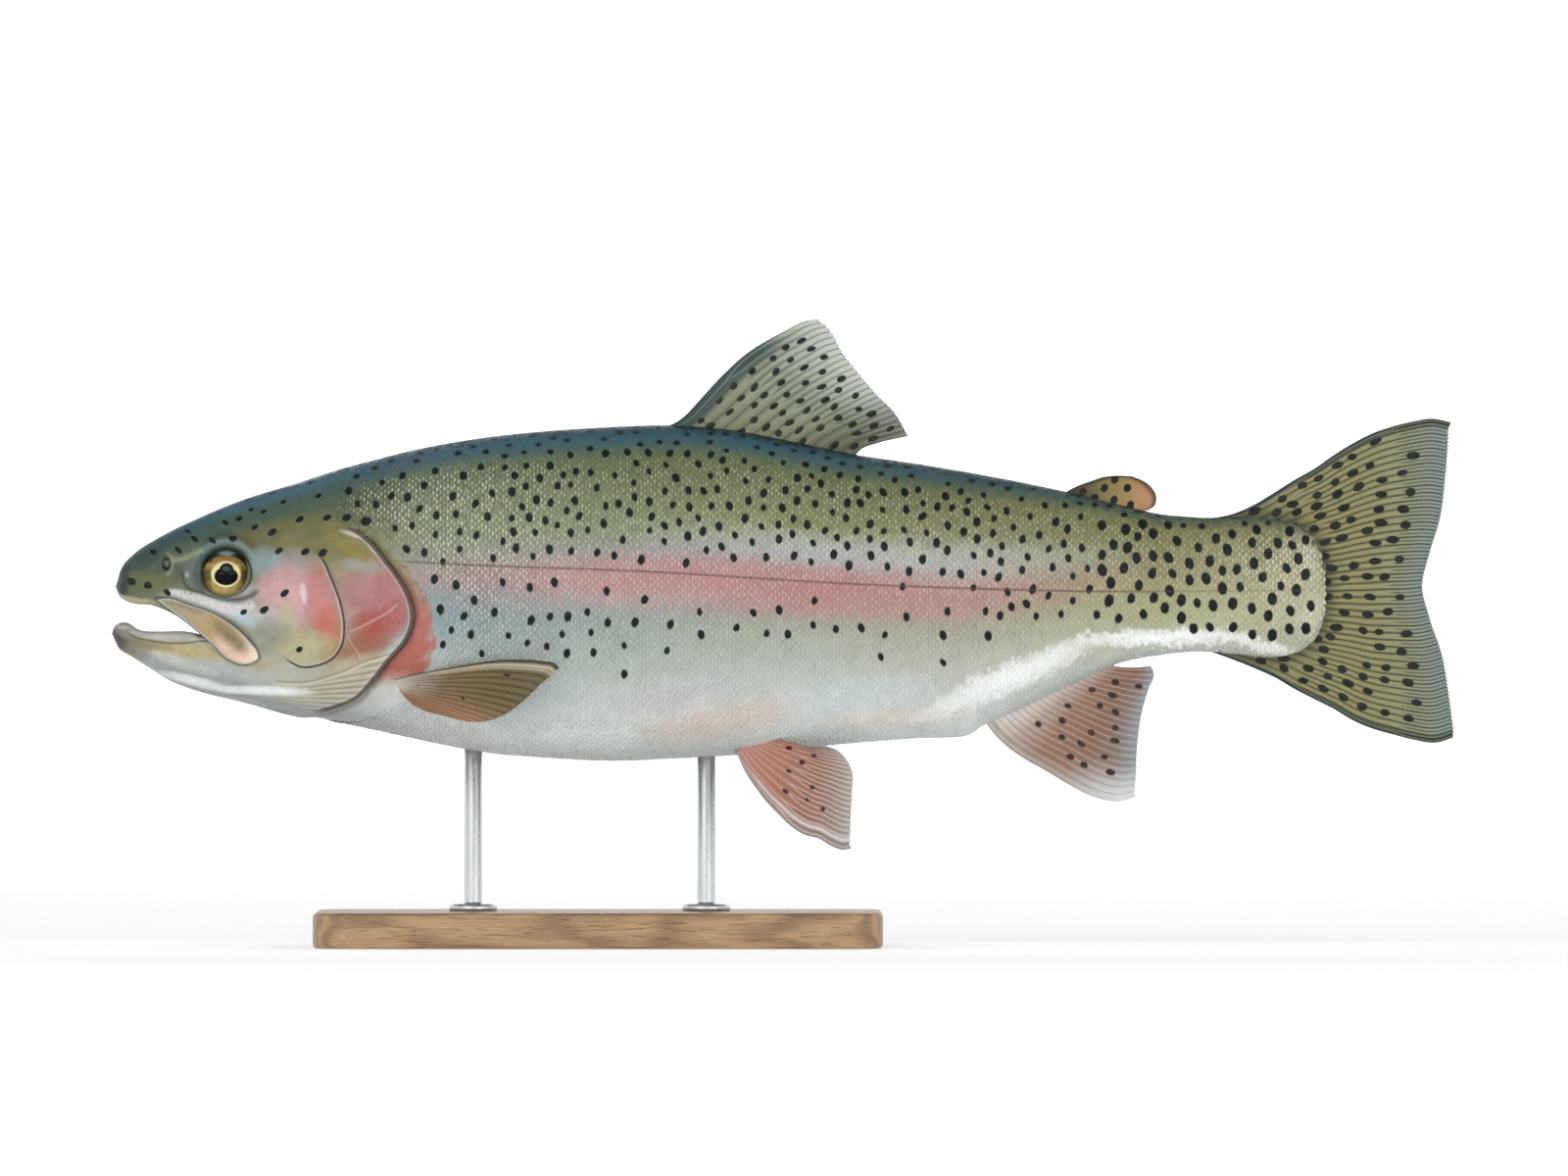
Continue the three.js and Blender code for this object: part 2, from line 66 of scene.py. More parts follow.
BACK = [
    (1.3, 2.6), (2, 5.2), (4.3, 8.5), (8.2, 12.2), (14.8, 16.4), (21.4, 20), (27.9, 23), (37.8, 27.3),
    (47.6, 30.9), (60.8, 34.8), (73.9, 39.1), (87.1, 42.7), (100.2, 46), (126.5, 50.6), (146, 52.6),
    (165.9, 53.9), (185.6, 54.5), (205.3, 53.2), (231.6, 48.3), (247.3, 45), (271, 41.4), (310.4, 34.2),
    (336.7, 28.2), (349.9, 25), (363, 23.7), (389.3, 23.3), (395.8, 21.7), (400.8, 18.7), (404, 14.5),
    (406, 7.5), (406.7, 1.5),
]
BELLY = [
    (0, -16.2), (0.5, -17.9), (1.6, -19.5), (3.4, -21), (5.6, -22.3), (11.5, -26), (18.1, -30.2),
    (27.9, -34.2), (37.8, -36.8), (47.6, -38.8), (60.8, -41.7), (87.1, -47), (113.3, -52.6),
    (126.5, -54.9), (146, -56.5), (165.9, -57.5), (192.2, -56.5), (205.3, -55.8), (248, -51.6),
    (271, -49.9), (280.9, -49.4), (290.7, -45.7), (310.4, -37.1), (323.6, -30.9), (336.7, -25),
    (349.9, -22.3), (363, -21), (376, -22), (389.3, -23), (395.8, -21.7), (400.8, -19), (404, -14.8),
    (406, -7.5), (406.7, -1.5),
]
FLANK = [
    (1.3, 0.6), (2.2, -1.4), (4.3, -3.3), (8.2, -4.6), (13.5, -5.1), (16.1, -6), (21.4, -8.4),
    (27.9, -12.7), (34.5, -16.5), (39.4, -18.7), (47.6, -17), (60.8, -12), (73.9, -8), (87, -5.5),
    (100, -4), (126, -3), (166, -2), (247, -1.5), (291, -2), (310, -1), (337, 1), (363, 1.2),
    (389, 0.2), (406.7, 0),
]
HALF_WIDTH = [
    (1.3, 2), (2, 4), (4.3, 7), (8.2, 9.6), (14.8, 12.2), (21.4, 14), (27.9, 15.3), (39.4, 17.3),
    (47.6, 19), (60.8, 21.8), (73.9, 24.2), (87, 25.8), (100, 26.8), (126, 27.8), (166, 28.8),
    (186, 28.7), (205, 28), (247, 25.3), (271, 22.6), (291, 19.6), (310, 16.6), (337, 12.6),
    (350, 10.9), (363, 9.5), (376, 8.2), (389, 6.6), (396, 5.2), (401, 3.9), (404, 2.8),
    (406.7, 1.2),
]
JAW_RIM = [
    (0, -15.4), (0.4, -14.2), (1.1, -13.1), (2.2, -12.3), (3.6, -12), (5.2, -12.1), (6.6, -12.9),
    (8, -14), (9.5, -14.6), (14.8, -15), (24.6, -15), (31.2, -16.4), (39.4, -18.7), (47.6, -17),
]
JAW_HALF_WIDTH = [
    (0, 1), (0.5, 2.6), (1.6, 4.3), (4.3, 6.2), (8.2, 8.2), (14.8, 10.6), (21.4, 12.6), (27.9, 14.4),
    (39.4, 17.3), (47.6, 19),
]
SQUARENESS_ABOVE = [(0, 2.4), (20, 2.7), (60, 2.6), (110, 2.25), (400, 2.15)]
SQUARENESS_BELOW = [(0, 2.1), (60, 2.2), (150, 2.35), (280, 2.2), (400, 2.15)]
GILL_EDGE = [
    (77.2, 21), (79.4, 20), (82.3, 19), (86.4, 16.1), (90.7, 11.2), (94.9, 5.9), (98.6, 0.2),
    (100.7, -4.9), (101.4, -9.9), (100.2, -14.8), (97.8, -19), (94, -23), (87.4, -31.5), (82.3, -36.8),
    (75.6, -39.6), (66, -42),
]
CHEEK_EDGE = [
    (68.6, 12.4), (70.6, 10.5), (74.2, 3.3), (77.4, -5.6), (78.5, -13.1), (77.7, -19), (74.8, -23.3),
    (69.6, -25.8), (63.9, -26.3), (60.2, -24.6), (57.6, -22.6),
]
EYE_AT, EYE_UP, EYE_RADIUS = 38.7, 4.9, 8.2
NOSTRIL = (18.7, 8.2, 1.25, 2)
SOCKET_FRONT = (27.8, 4, 4.2, 6.2)
SOCKET_GLINT = (25.6, 4.6, 0.9, 1.4)
VENT_AT = 286.5
HEAD_ENDS_AT = 112


def through(pairs):
    """A smooth curve through (place, value) pairs, read as a function of place."""
    place, value = np.array(pairs, float).T
    run = np.diff(place)
    rise = np.diff(value) / run
    slope = np.empty_like(place)
    slope[0], slope[-1] = rise[0], rise[-1]
    slope[1:-1] = (rise[:-1] * run[1:] + rise[1:] * run[:-1]) / (run[:-1] + run[1:])

    def read(at):
        at = np.clip(at, place[0], place[-1])
        i = np.clip(np.searchsorted(place, at, side="right") - 1, 0, len(run) - 1)
        u = (at - place[i]) / run[i]
        start = value[i] * (1 + 2 * u) * (1 - u) ** 2 + slope[i] * run[i] * u * (1 - u) ** 2
        end = value[i + 1] * u * u * (3 - 2 * u) - slope[i + 1] * run[i] * u * u * (1 - u)
        return start + end

    return read


def smoothly(value, low, high):
    """0 below low, 1 above high, and an even change between."""
    t = np.clip((value - low) / (high - low), 0, 1)
    return t * t * (3 - 2 * t)


def bump_at(value, centre, width):
    """1 at the centre, falling off to 0 on both sides of it."""
    return np.exp(-(((value - centre) / width) ** 2))


square_above = through(SQUARENESS_ABOVE)
square_below = through(SQUARENESS_BELOW)


class Form:
    """One side of a row of cross-sections, with evenly spaced steps round each of them."""

    STATIONS, STEPS, ARC_PARTS = 420, 60, 360

    def __init__(self, top, bottom, widest, half, start, end, nose=3.0, heel=0.7):
        self.top, self.bottom, self.widest, self.half = top, bottom, widest, half
        self.start, self.end, self.nose, self.heel = start, end, nose, heel
        self.places = np.linspace(start + 0.001, end - 0.001, self.STATIONS)
        self.turns = np.empty((2, self.STATIONS, self.STEPS + 1))
        self.girth = np.empty((2, self.STATIONS))
        fine = np.linspace(0, 1, self.ARC_PARTS + 1)
        even = np.linspace(0, 1, self.STEPS + 1)
        for quarter in (0, 1):
            turn = (quarter + fine) * math.pi / 2
            out, up = self.turned(self.places[:, None], turn[None, :])
            arcs = np.cumsum(np.hypot(np.diff(out), np.diff(up)), axis=1)
            self.girth[quarter] = arcs[:, -1]
            for i, arc in enumerate(arcs):
                self.turns[quarter, i] = np.interp(even, np.append(0, arc / arc[-1]), turn)

    def turned(self, at, turn):
        nose = 1 - np.clip((at - self.start) / self.nose, 0, 1)
        heel = 1 - np.clip((self.end - at) / self.heel, 0, 1)
        shrink = np.sqrt(np.maximum(1 - nose**2, 0) * np.maximum(1 - heel**2, 0))
        sine, cosine = np.sin(turn), np.cos(turn)
        above = cosine >= 0
        power = 2 / np.where(above, square_above(at), square_below(at))
        reach = np.where(above, self.top(at) - self.widest(at), self.widest(at) - self.bottom(at))
        out = self.half(at) * np.abs(sine) ** power * shrink
        return out, self.widest(at) + np.sign(cosine) * reach * np.abs(cosine) ** power * shrink

    def turn(self, at, step):
        quarter = np.clip(step.astype(int), 0, 1)
        row = np.interp(at, self.places, np.arange(self.STATIONS))
        i = np.minimum(row.astype(int), self.STATIONS - 2)
        column = (step - quarter) * self.STEPS
        j = np.minimum(column.astype(int), self.STEPS - 1)
        fi, fj, t = row - i, column - j, self.turns
        near = t[quarter, i, j] * (1 - fi) + t[quarter, i + 1, j] * fi
        far = t[quarter, i, j + 1] * (1 - fi) + t[quarter, i + 1, j + 1] * fi
        return near * (1 - fj) + far * fj

    def point(self, at, step):
        return np.stack([at, *self.turned(at, self.turn(at, step))], -1)

    def normal(self, at, step):
        along = self.point(at + 0.2, step) - self.point(at - 0.2, step)
        round_ = self.point(at, np.minimum(step + 0.01, 2)) - self.point(at, np.maximum(step - 0.01, 0))
        normal = np.cross(along, round_)
        return normal / np.maximum(np.linalg.norm(normal, axis=-1, keepdims=True), 1e-9)

    def level(self, at, up):
        """Height as a share of the body's depth: 0 on the belly, 1 on the back."""
        return (up - self.bottom(at)) / np.maximum(self.top(at) - self.bottom(at), 0.1)

    def girths(self, at):
        """Length round the body from the widest line of the flank to the back, and to the belly."""
        return [np.interp(at, self.places, girth) for girth in self.girth]

    def rise(self, at, step):
        """Distance up from the flank's widest line, measured round the body."""
        upper, lower = self.girths(at)
        return (1 - step) * np.where(step < 1, upper, lower)

    def step_at(self, at, rise):
        upper, lower = self.girths(at)
        return np.clip(1 - rise / np.where(rise > 0, upper, lower), 0, 2)

    def step_of(self, at, up):
        """The step at which one station of the body is that high."""
        steps = np.linspace(0, 2, 401)
        heights = self.point(np.full(401, float(at)), steps)[:, 2]
        return float(np.interp(-up, -heights, steps))

    def side_out(self, at, up):
        """How far out the flank is, at a place seen from the side."""
        power = np.where(up > self.widest(at), square_above(at), square_below(at))
        reach = np.where(up > self.widest(at), self.top(at), self.bottom(at)) - self.widest(at)
        share = np.clip(np.abs((up - self.widest(at)) / reach), 0, 1)
        return self.half(at) * (1 - share**power) ** (1 / power)


BODY = Form(through(BACK), through(BELLY), through(FLANK), through(HALF_WIDTH), SNOUT_AT, FLESH_ENDS_AT)
JAW = Form(through(JAW_RIM), through(BELLY), through(JAW_RIM), through(JAW_HALF_WIDTH), 0, 47.6)

# Where the gill cover's free edge runs, as a function of the step round the body.
gill_at = through(
    [(0, 74.5), (0.3, 75.5)]
    + [(BODY.step_of(at, up), at) for at, up in GILL_EDGE]
    + [(1.93, 62), (2, 60)]
)
GILL_TOP = BODY.step_of(*GILL_EDGE[0])


def gill_open(step):
    """1 where the gill cover's edge is free, 0 where the head runs on into the back."""
    return smoothly(step, GILL_TOP - 0.02, GILL_TOP + 0.14) * (1 - 0.6 * smoothly(step, 1.9, 2))


# ---------------------------------------------------------------- drawn lines, patches and marks


class Line:
    """A smooth line drawn on the fish's side, in at and up."""

    def __init__(self, points, steps=40):
        points = np.array(points, float)
        reach = np.append(0, np.cumsum(np.hypot(*np.diff(points, axis=0).T)))
        places = np.linspace(0, reach[-1], steps + 1)
        self.points = np.stack([through(list(zip(reach, points[:, k])))(places) for k in (0, 1)], -1)

    def measure(self, at, up):
        """Distance from the line, positive on the left of its run, and how far along it the place is."""
        best = np.full(at.shape, 1e9)
        side, along = np.ones(at.shape), np.zeros(at.shape)
        passed = 0
        for a, b in zip(self.points[:-1], self.points[1:]):
            run = b - a
            length = math.hypot(*run)
            dx, dz = at - a[0], up - a[1]
            share = np.clip((dx * run[0] + dz * run[1]) / length**2, 0, 1)
            gap = np.hypot(dx - share * run[0], dz - share * run[1])
            nearer = gap < best
            best = np.where(nearer, gap, best)
            side = np.where(nearer, np.sign(run[0] * dz - run[1] * dx), side)
            along = np.where(nearer, passed + share * length, along)
            passed += length
        return best * np.where(side == 0, 1, side), along / passed

    def away(self, at, up):
        return self.measure(at, up)[0]

    def drawn(self, at, up):
        """Distance from the line, and 1 along it that fades out at both ends."""
        away, along = self.measure(at, up)
        return np.clip(away, -4, 4), smoothly(along, 0, 0.08) * (1 - smoothly(along, 0.92, 1))


cheek_line = Line(CHEEK_EDGE)
gum_line = Line([(4.4, -14.2), (8.2, -16.4), (13.2, -17.5), (18, -18.2), (25, -18.3), (31, -17.6),
                 (35, -17.8)])
opercle_seam = Line([(97, -4.6), (94.3, -7.3), (90.7, -9.5), (87.2, -11.3), (82.7, -13.5),
                     (79.6, -14.8)], 16)
cheek_seam = Line([(79.2, -15.3), (80.5, -18), (82.7, -21.1), (84, -24.2)], 12)
lower_seam = Line([(94.8, -22.2), (89.9, -23.8), (85.4, -25.1), (81.8, -26.9), (77.4, -28.7),
                   (72, -30.4), (66.7, -31.8), (54, -31.8)], 20)
orbit_line = Line([(23.6, 7), (24.2, 3.9), (25.2, 0.8), (30.4, -1.5), (35.6, -3.3), (41.2, -3.9),
                   (46.7, -2.7), (50.5, 0)])
brow_line = Line([(19.5, 9.6), (23.5, 9.6), (28, 11.4), (31.5, 13.2)], 16)
under_eye_line = Line([(21, -1.6), (29, -3.6), (36.5, -6.2), (42, -7.2), (47, -5.8)], 30)
lateral_line = Line([(98.5, 8.9), (118, 7.9), (172, 5.9), (258, 1), (327, -1), (399, -0.7)], 60)
gill_side_line = Line([(76.6, 19), (79, 20), *GILL_EDGE[2:]])

DRAWN_LINES = {
    "cheek": cheek_line, "cover": gill_side_line, "gum": gum_line, "opercle_seam": opercle_seam,
    "cheek_seam": cheek_seam, "lower_seam": lower_seam,
}
MAXILLA_TOP = Line([(14.6, -3.2), (19.2, -2.7), (26.3, -4.7), (34.1, -7.4), (40.6, -11.1),
                    (46.9, -16.8), (50.4, -23.6)], 48)
MAXILLA_LOW = Line([(14.6, -3.6), (16.4, -6.6), (21.4, -9.6), (26.6, -13.2), (30.6, -17.2),
                    (35.6, -21.4), (40.4, -24.9), (44, -26.2), (47.6, -25.9), (50.4, -23.6)], 48)


def over_maxilla(at, up):
    """How far inside the upper jaw bone's outline a place is; negative outside it."""
    below_top = -MAXILLA_TOP.away(at, up)
    above_low = MAXILLA_LOW.away(at, up)
    return np.minimum(below_top, above_low)


def gill_fan(at, up):
    """The folded rays of skin under the gill cover: a count across them, and 1 where they show."""
    ahead, above = at - 40, up + 36.5
    facing = np.degrees(np.arctan2(above, np.maximum(ahead, 1)))
    inside = smoothly(ahead, 20, 34) * smoothly(lower_seam.away(at, up), 0.1, 0.8)
    return facing / 2.7, inside * (1 - smoothly(gill_side_line.away(at, up), -0.5, 0.1)) * (at < 101)


def eye_reach(at, up):
    """Distance from the eye's middle; the socket's lower rim sits a little high."""
    above = up - EYE_UP
    return np.hypot(at - EYE_AT, np.where(above < 0, above * 1.1, above))


def oval_reach(at, up, oval):
    """Distance from an oval's middle (at, up, half length, half height): 1 on the oval."""
    middle_at, middle_up, half_length, half_height = oval
    return np.hypot((at - middle_at) / half_length, (up - middle_up) / half_height)


def head_relief(at, up):
    """How far the head's skin stands proud of the plain form."""
    ahead, above = at - EYE_AT, up - EYE_UP
    eye = eye_reach(at, up)
    facing = np.arctan2(above, -ahead)
    proud = -2.9 * (1 - smoothly(eye, EYE_RADIUS - 0.5, EYE_RADIUS + 0.7))
    proud += 0.45 * bump_at(eye, EYE_RADIUS + 1.4, 0.9)
    proud -= 0.35 * bump_at(orbit_line.away(at, up), 0, 0.8) * (at > 23)
    brow = smoothly(facing, 0.5, 1.3) * (1 - smoothly(facing, 2.4, 3))
    proud += 0.7 * bump_at(eye, EYE_RADIUS + 3.2, 1.7) * brow
    nostril = oval_reach(at, up, NOSTRIL)
    proud += 0.3 * bump_at(nostril, 1.35, 0.35) - 1.1 * (1 - smoothly(nostril, 0.45, 1.05))
    cheek = cheek_line.away(at, up)
    proud -= 0.5 * bump_at(cheek, 0, 0.45)
    proud += 0.15 * bump_at(cheek, -1.3, 0.9)
    for seam in (opercle_seam, cheek_seam, lower_seam, gum_line):
        away, shown = seam.drawn(at, up)
        proud -= 0.3 * bump_at(away, 0, 0.5) * shown
    return proud - 0.75 * smoothly(over_maxilla(at, up), -0.9, 0.3)


def body_relief(at, step, off_lateral):
    """The groove of the lateral line, off_lateral away from its middle, and the swelling at the vent."""
    vent = bump_at(at, VENT_AT, 4.5) * smoothly(step, 1.72, 1.95)
    return -0.16 * bump_at(off_lateral, 0, 0.5) + 1.3 * vent


# ---------------------------------------------------------------- the skin's surface

UPPER_STEPS = np.linspace(0, 1, 91)
LOWER_STEPS = np.linspace(1, 2, 61)
ALL_STEPS = np.append(UPPER_STEPS, LOWER_STEPS[1:])
GILL_FOLD = [(0.35, 1.15), (0.45, 0.6), (0.1, 0.1), (-1.5, -0.5), (-2.5, -0.9), (-1.0, -1.1),
             (0.6, -0.7), (2.5, -0.3), (5.5, 0)]
COVER_PROUD = 1.4
BEHIND_GILLS = 5.5


def cover_rise(at, step):
    """How far the gill cover stands proud of the body, most of all at its free edge."""
    edge = gill_at(step)
    return COVER_PROUD * gill_open(step) * smoothly(at - edge, -24, -1)


def skin_point(form, at, step, proud=0.0):
    """Places on one side of the fish's skin, with what shapes the head and flank raised or sunk."""
    at, step = np.broadcast_arrays(np.asarray(at, float), np.asarray(step, float))
    plain = form.point(at, step)
    normal = form.normal(at, step)
    up = plain[..., 2]
    relief = head_relief(at, up) * (1 - smoothly(at - gill_at(step), -1.5, 0.5)) * smoothly(at, 1, 5)
    behind = body_relief(at, step, lateral_line.away(at, up))
    relief = relief + behind * smoothly(at - gill_at(step), 2, 6)
    place = plain + normal * (relief + proud)[..., None]
    place[..., 1] = np.where((step <= 0) | (step >= 2), 0, np.maximum(place[..., 1], 0))
    return place


def both_sides(place_left):
    """A sheet over both sides of the fish, from one side's rows of places."""
    left, right = place_left.copy(), place_left[:, ::-1].copy()
    left[..., 1] *= LEFT
    return np.concatenate([left, right[:, 1:]], axis=1)


def world(place):
    """The frame's metres from the fish's own millimetres."""
    moved = np.stack([place[..., 0] - TOTAL_LENGTH / 2, place[..., 1], place[..., 2] + AXIS_HEIGHT], -1)
    return moved * MM


# ---------------------------------------------------------------- making pieces


def make_piece(name, sheets, replaced, merge=0.02):
    """One closed mesh from sheets of places, in millimetres, each with its marks (name: numbers)."""
    bm = bmesh.new()
    places, marks = [], {}
    for place, sheet_marks in sheets:
        rows, columns = place.shape[:2]
        bmesh.ops.create_grid(bm, x_segments=columns - 1, y_segments=rows - 1, size=1)
        places.append(world(place).reshape(-1, 3))
        for mark, value in sheet_marks.items():
            marks.setdefault(mark, []).append(value.reshape(rows * columns, -1))
    mesh = to_mesh(bm, name)
    mesh.vertices.foreach_set("co", np.concatenate(places).astype(np.float32).ravel())
    for mark, values in marks.items():
        set_mark(mesh, mark, np.concatenate(values))
    welded = bmesh.new()
    welded.from_mesh(mesh)
    bmesh.ops.remove_doubles(welded, verts=welded.verts, dist=merge * MM)
    bmesh.ops.recalc_face_normals(welded, faces=welded.faces)
    welded.to_mesh(mesh)
    welded.free()
    return join_model(mesh, replaced)


def to_mesh(bm, name, is_smooth=lambda face: True):
    """A mesh with that name from a bmesh, which is freed."""
    for face in bm.faces:
        face.smooth = is_smooth(face)
    mesh = bpy.data.meshes.new(name)
    bm.to_mesh(mesh)
    bm.free()
    return mesh


def steep(face):
    """Whether a face is on the side of an upright piece, and not on its flat top or bottom."""
    return abs(face.normal.z) < 0.98


def revolved(outline, steps, weld):
    """A bmesh turned about the upright axis from an outline of (radius, height), in metres."""
    bm = bmesh.new()
    ring = [bm.verts.new((radius, 0, height)) for radius, height in outline]
    edges = [bm.edges.new(pair) for pair in zip(ring[:-1], ring[1:])]
    bmesh.ops.spin(bm, geom=ring + edges, cent=(0, 0, 0), axis=(0, 0, 1), angle=math.tau, steps=steps,
                   use_merge=True)
    bmesh.ops.remove_doubles(bm, verts=bm.verts, dist=weld)
    bmesh.ops.recalc_face_normals(bm, faces=bm.faces)
    return bm


def set_mark(mesh, mark, values):
    """Gives each vertex a colour, or a number, that the materials read by the mark's name."""
    if values.shape[1] == 3:
        layer = mesh.attributes.new(mark, "FLOAT_COLOR", "POINT")
        layer.data.foreach_set("color", np.insert(values, 3, 1, axis=1).astype(np.float32).ravel())
    else:
        layer = mesh.attributes.new(mark, "FLOAT", "POINT")
        layer.data.foreach_set("value", values.astype(np.float32).ravel())


def join_model(mesh, replaced=()):
    """Puts a mesh into the scene as a piece of the model that stands for the named nodes."""
    piece = bpy.data.objects.new(mesh.name, mesh)
    bpy.context.scene.collection.objects.link(piece)
    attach(piece, "root")
    if replaced:
        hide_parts(*replaced)
    return piece


# ---------------------------------------------------------------- colours of the skin


def colour(text):
    """Linear colour from a hexadecimal one."""
    parts = np.array([int(text[i : i + 2], 16) for i in (0, 2, 4)]) / 255
    return np.where(parts <= 0.04045, parts / 12.92, ((parts + 0.055) / 1.055) ** 2.4)


# Bands of colour from the belly (level 0) to the back (level 1), at a few places along the body.
BANDS = {
    0: [(0, "96999a"), (0.2, "9da1a2"), (0.5, "62643f"), (0.75, "3c4a3f"), (0.93, "36484a"),
        (1, "2f4247")],
    40: [(0, "7f8486"), (0.08, "979c9e"), (0.14, "a4a9aa"), (0.3, "8a8e80"), (0.5, "82877a"),
         (0.68, "585c40"), (0.85, "3f4f3f"), (0.93, "455a52"), (0.97, "486670"), (1, "3c5a64")],
    75: [(0, "868b8c"), (0.07, "9a9f9d"), (0.14, "a19f8e"), (0.3, "968d72"), (0.48, "a07a76"),
         (0.62, "7d7656"), (0.72, "65643e"), (0.85, "505a44"), (0.93, "465a54"), (0.97, "476771"),
         (1, "3e5a66")],
    105: [(0, "cbd1d2"), (0.15, "cdd3d3"), (0.3, "a3adab"), (0.42, "82959a"), (0.5, "8a9496"),
          (0.56, "a3918f"), (0.62, "92958a"), (0.7, "868f74"), (0.82, "7e866c"), (0.91, "62705a"),
          (0.945, "4a6265"), (0.98, "44636f"), (0.995, "33505c"), (1, "24363d")],
    170: [(0, "d2dcdd"), (0.14, "c9cdcb"), (0.25, "aeb6b1"), (0.36, "99a49c"), (0.44, "939c97"),
          (0.48, "aa9795"), (0.53, "b28786"), (0.585, "ad8887"), (0.63, "93918c"), (0.69, "7f8a6b"),
          (0.8, "6f7758"), (0.905, "606a49"), (0.94, "48605a"), (0.97, "3a5e6c"), (0.986, "31505c"),
          (0.996, "203139"), (1, "1b292f")],
    235: [(0, "d0dcdc"), (0.12, "cbd0cd"), (0.24, "b5bab5"), (0.36, "a2a79a"), (0.415, "9b9b90"),
          (0.45, "ab8684"), (0.52, "ae7c7c"), (0.58, "ad8482"), (0.63, "a8a9ac"), (0.675, "a6aaa2"),
          (0.73, "7f8259"), (0.85, "707555"), (0.905, "646c49"), (0.94, "4b6059"), (0.97, "3a5b68"),
          (0.986, "304c58"), (0.996, "203139"), (1, "1b292f")],
    291: [(0, "c4cccc"), (0.15, "c0c3bd"), (0.3, "abada0"), (0.4, "9d9c8a"), (0.46, "a88c81"),
          (0.54, "aa8681"), (0.62, "aaa6a2"), (0.68, "a5ab9f"), (0.76, "7f8060"), (0.9, "6c6e4b"),
          (0.945, "4f5f50"), (0.975, "3d565e"), (0.992, "2c3f46"), (1, "243338")],
    350: [(0, "b3babc"), (0.12, "b0b29a"), (0.3, "a0a27a"), (0.48, "97956f"), (0.6, "88855f"),
          (0.9, "76764d"), (0.96, "53604f"), (1, "3f4f4c")],
    400: [(0, "aeb0a0"), (0.3, "b3b397"), (0.6, "abab8c"), (0.85, "918f6a"), (0.96, "66694f"),
          (1, "4c5649")],
}

# Soft strokes over the head: at, up, reach back, reach up, tilt in degrees, colour, strength. A few are
# painted light: a highlight on the cheek, highlights under the lower jaw and shade at the snout's tip.
STROKES = [
    (10, 14, 9, 6, 30, "3d4e44", 0.5),
    (12, 2.5, 11, 3.6, -6, "62633a", 0.75),
    (24, 12, 10, 4, 20, "515c49", 0.6),
    (60, 19, 22, 5.5, 12, "69653a", 0.75),
    (80, 16.5, 11, 5, -20, "7f7642", 0.8),
    (66, 14.5, 12, 3.5, 4, "716c3c", 0.7),
    (47, 17, 13, 4.5, 10, "57573a", 0.6),
    (27, 8, 6, 5, 0, "55604f", 0.5),
    (52, 8.5, 8, 6, 0, "84979b", 0.8),
    (62, 8.5, 9, 6, 0, "a09295", 0.6),
    (34, -6, 19, 3.6, -12, "b9b9b3", 0.85),
    (47, -1.5, 10, 3.2, 12, "a8aaa5", 0.6),
    (58, 1, 10, 7, 0, "b98a8c", 0.8),
    (60, -3, 12, 12, 0, "bd9496", 0.85),
    (50, -9.5, 10, 4, 0, "a9acaa", 0.7),
    (70, -4, 6, 14, 6, "b5706c", 0.85),
    (73, -12.5, 5.5, 8, 10, "b0583f", 0.75),
    # Painted highlight on the cheek.
    (64.8, -1.5, 1.3, 4.5, 6, "e6dcdd", 0.5),
    (59.5, -11, 3.4, 8, 8, "a3a67c", 0.7),
    (53.5, -15.5, 9, 7, 0, "7d8474", 0.85),
    (43.5, -9, 7, 2.4, -38, "9db3c1", 0.8),
    (46, -21, 9, 6, -24, "868b7f", 0.7),
    (65, -19.5, 12, 6.5, 6, "aba57f", 0.8),
    (74, -21.5, 6, 4, 30, "9f8762", 0.6),
    (90, -1, 13, 15, -12, "9b605e", 0.95),
    (86, 1, 5, 7, 0, "a3797c", 0.6),
    (88, -14, 10, 8, 20, "983f34", 0.9),
    (96, -9, 6, 8, -6, "a0514a", 0.8),
    (84, -20, 11, 5, 14, "8c5642", 0.85),
    (85, 7.6, 9, 3.2, -8, "8b8c82", 0.85),
    (82, 12.3, 9, 3.4, -14, "7e7238", 0.8),
    (82.5, 17.9, 6.5, 1.2, -14, "bdbbb0", 0.9),
    (89, 12.6, 5, 1.1, -46, "aeaca0", 0.8),
    (82, -24.5, 10, 2.6, 16, "a79c80", 0.75),
    (84, -30, 17, 5, 28, "a49d82", 0.75),
    (66, -35, 16, 4.5, 6, "a8a38c", 0.7),
    (58, -29, 14, 4.5, 4, "a9aba2", 0.6),
    (27, -20.9, 21, 3.4, -5, "aa9b6c", 0.9),
    (13, -18.6, 9, 2.2, -12, "857a50", 0.8),
    (46, -24.5, 13, 3.2, -12, "aca07c", 0.7),
    (28, -29, 22, 5, -14, "8f9394", 0.9),
    (25, -25.2, 14, 2.4, -18, "b7bab3", 0.7),
    # Painted highlights: the two white strokes under the lower jaw.
    (29, -31.4, 16, 2.1, -14, "e8eeee", 0.75),
    (52, -34.2, 18, 1.9, -2, "e8eeee", 0.9),
    (52, -38.4, 30, 1.8, -9, "8d9192", 0.85),
    (22, -33.6, 18, 1.6, -22, "7d8183", 0.9),
    (24, -32.6, 16, 1.2, -17, "7f8384", 0.7),
    # Painted shade along the snout's front edge.
    (2, 2, 4.6, 9, -12, "121b1b", 1.0),
    (6, -3.6, 9, 1.3, -10, "a79b88", 0.7),
    (17, -16.4, 12, 1.2, -2, "b3aea6", 0.8),
    (34, -18.5, 9, 1.6, -12, "b4aea0", 0.7),
    (104, -43, 16, 8, 0, "d8dddd", 0.85),
    (4, -18.5, 11, 6, -26, "6f6a50", 0.9),
    (0, -17, 6.5, 8, -20, "37362f", 1.0),
    (4.6, -14.4, 4.2, 2.6, -35, "857f76", 0.85),
    (3.8, -13, 2.6, 1.0, -10, "b0aaa2", 0.7),
    (9.6, -15.6, 4.4, 1.0, -14, "a8a198", 0.8),
]
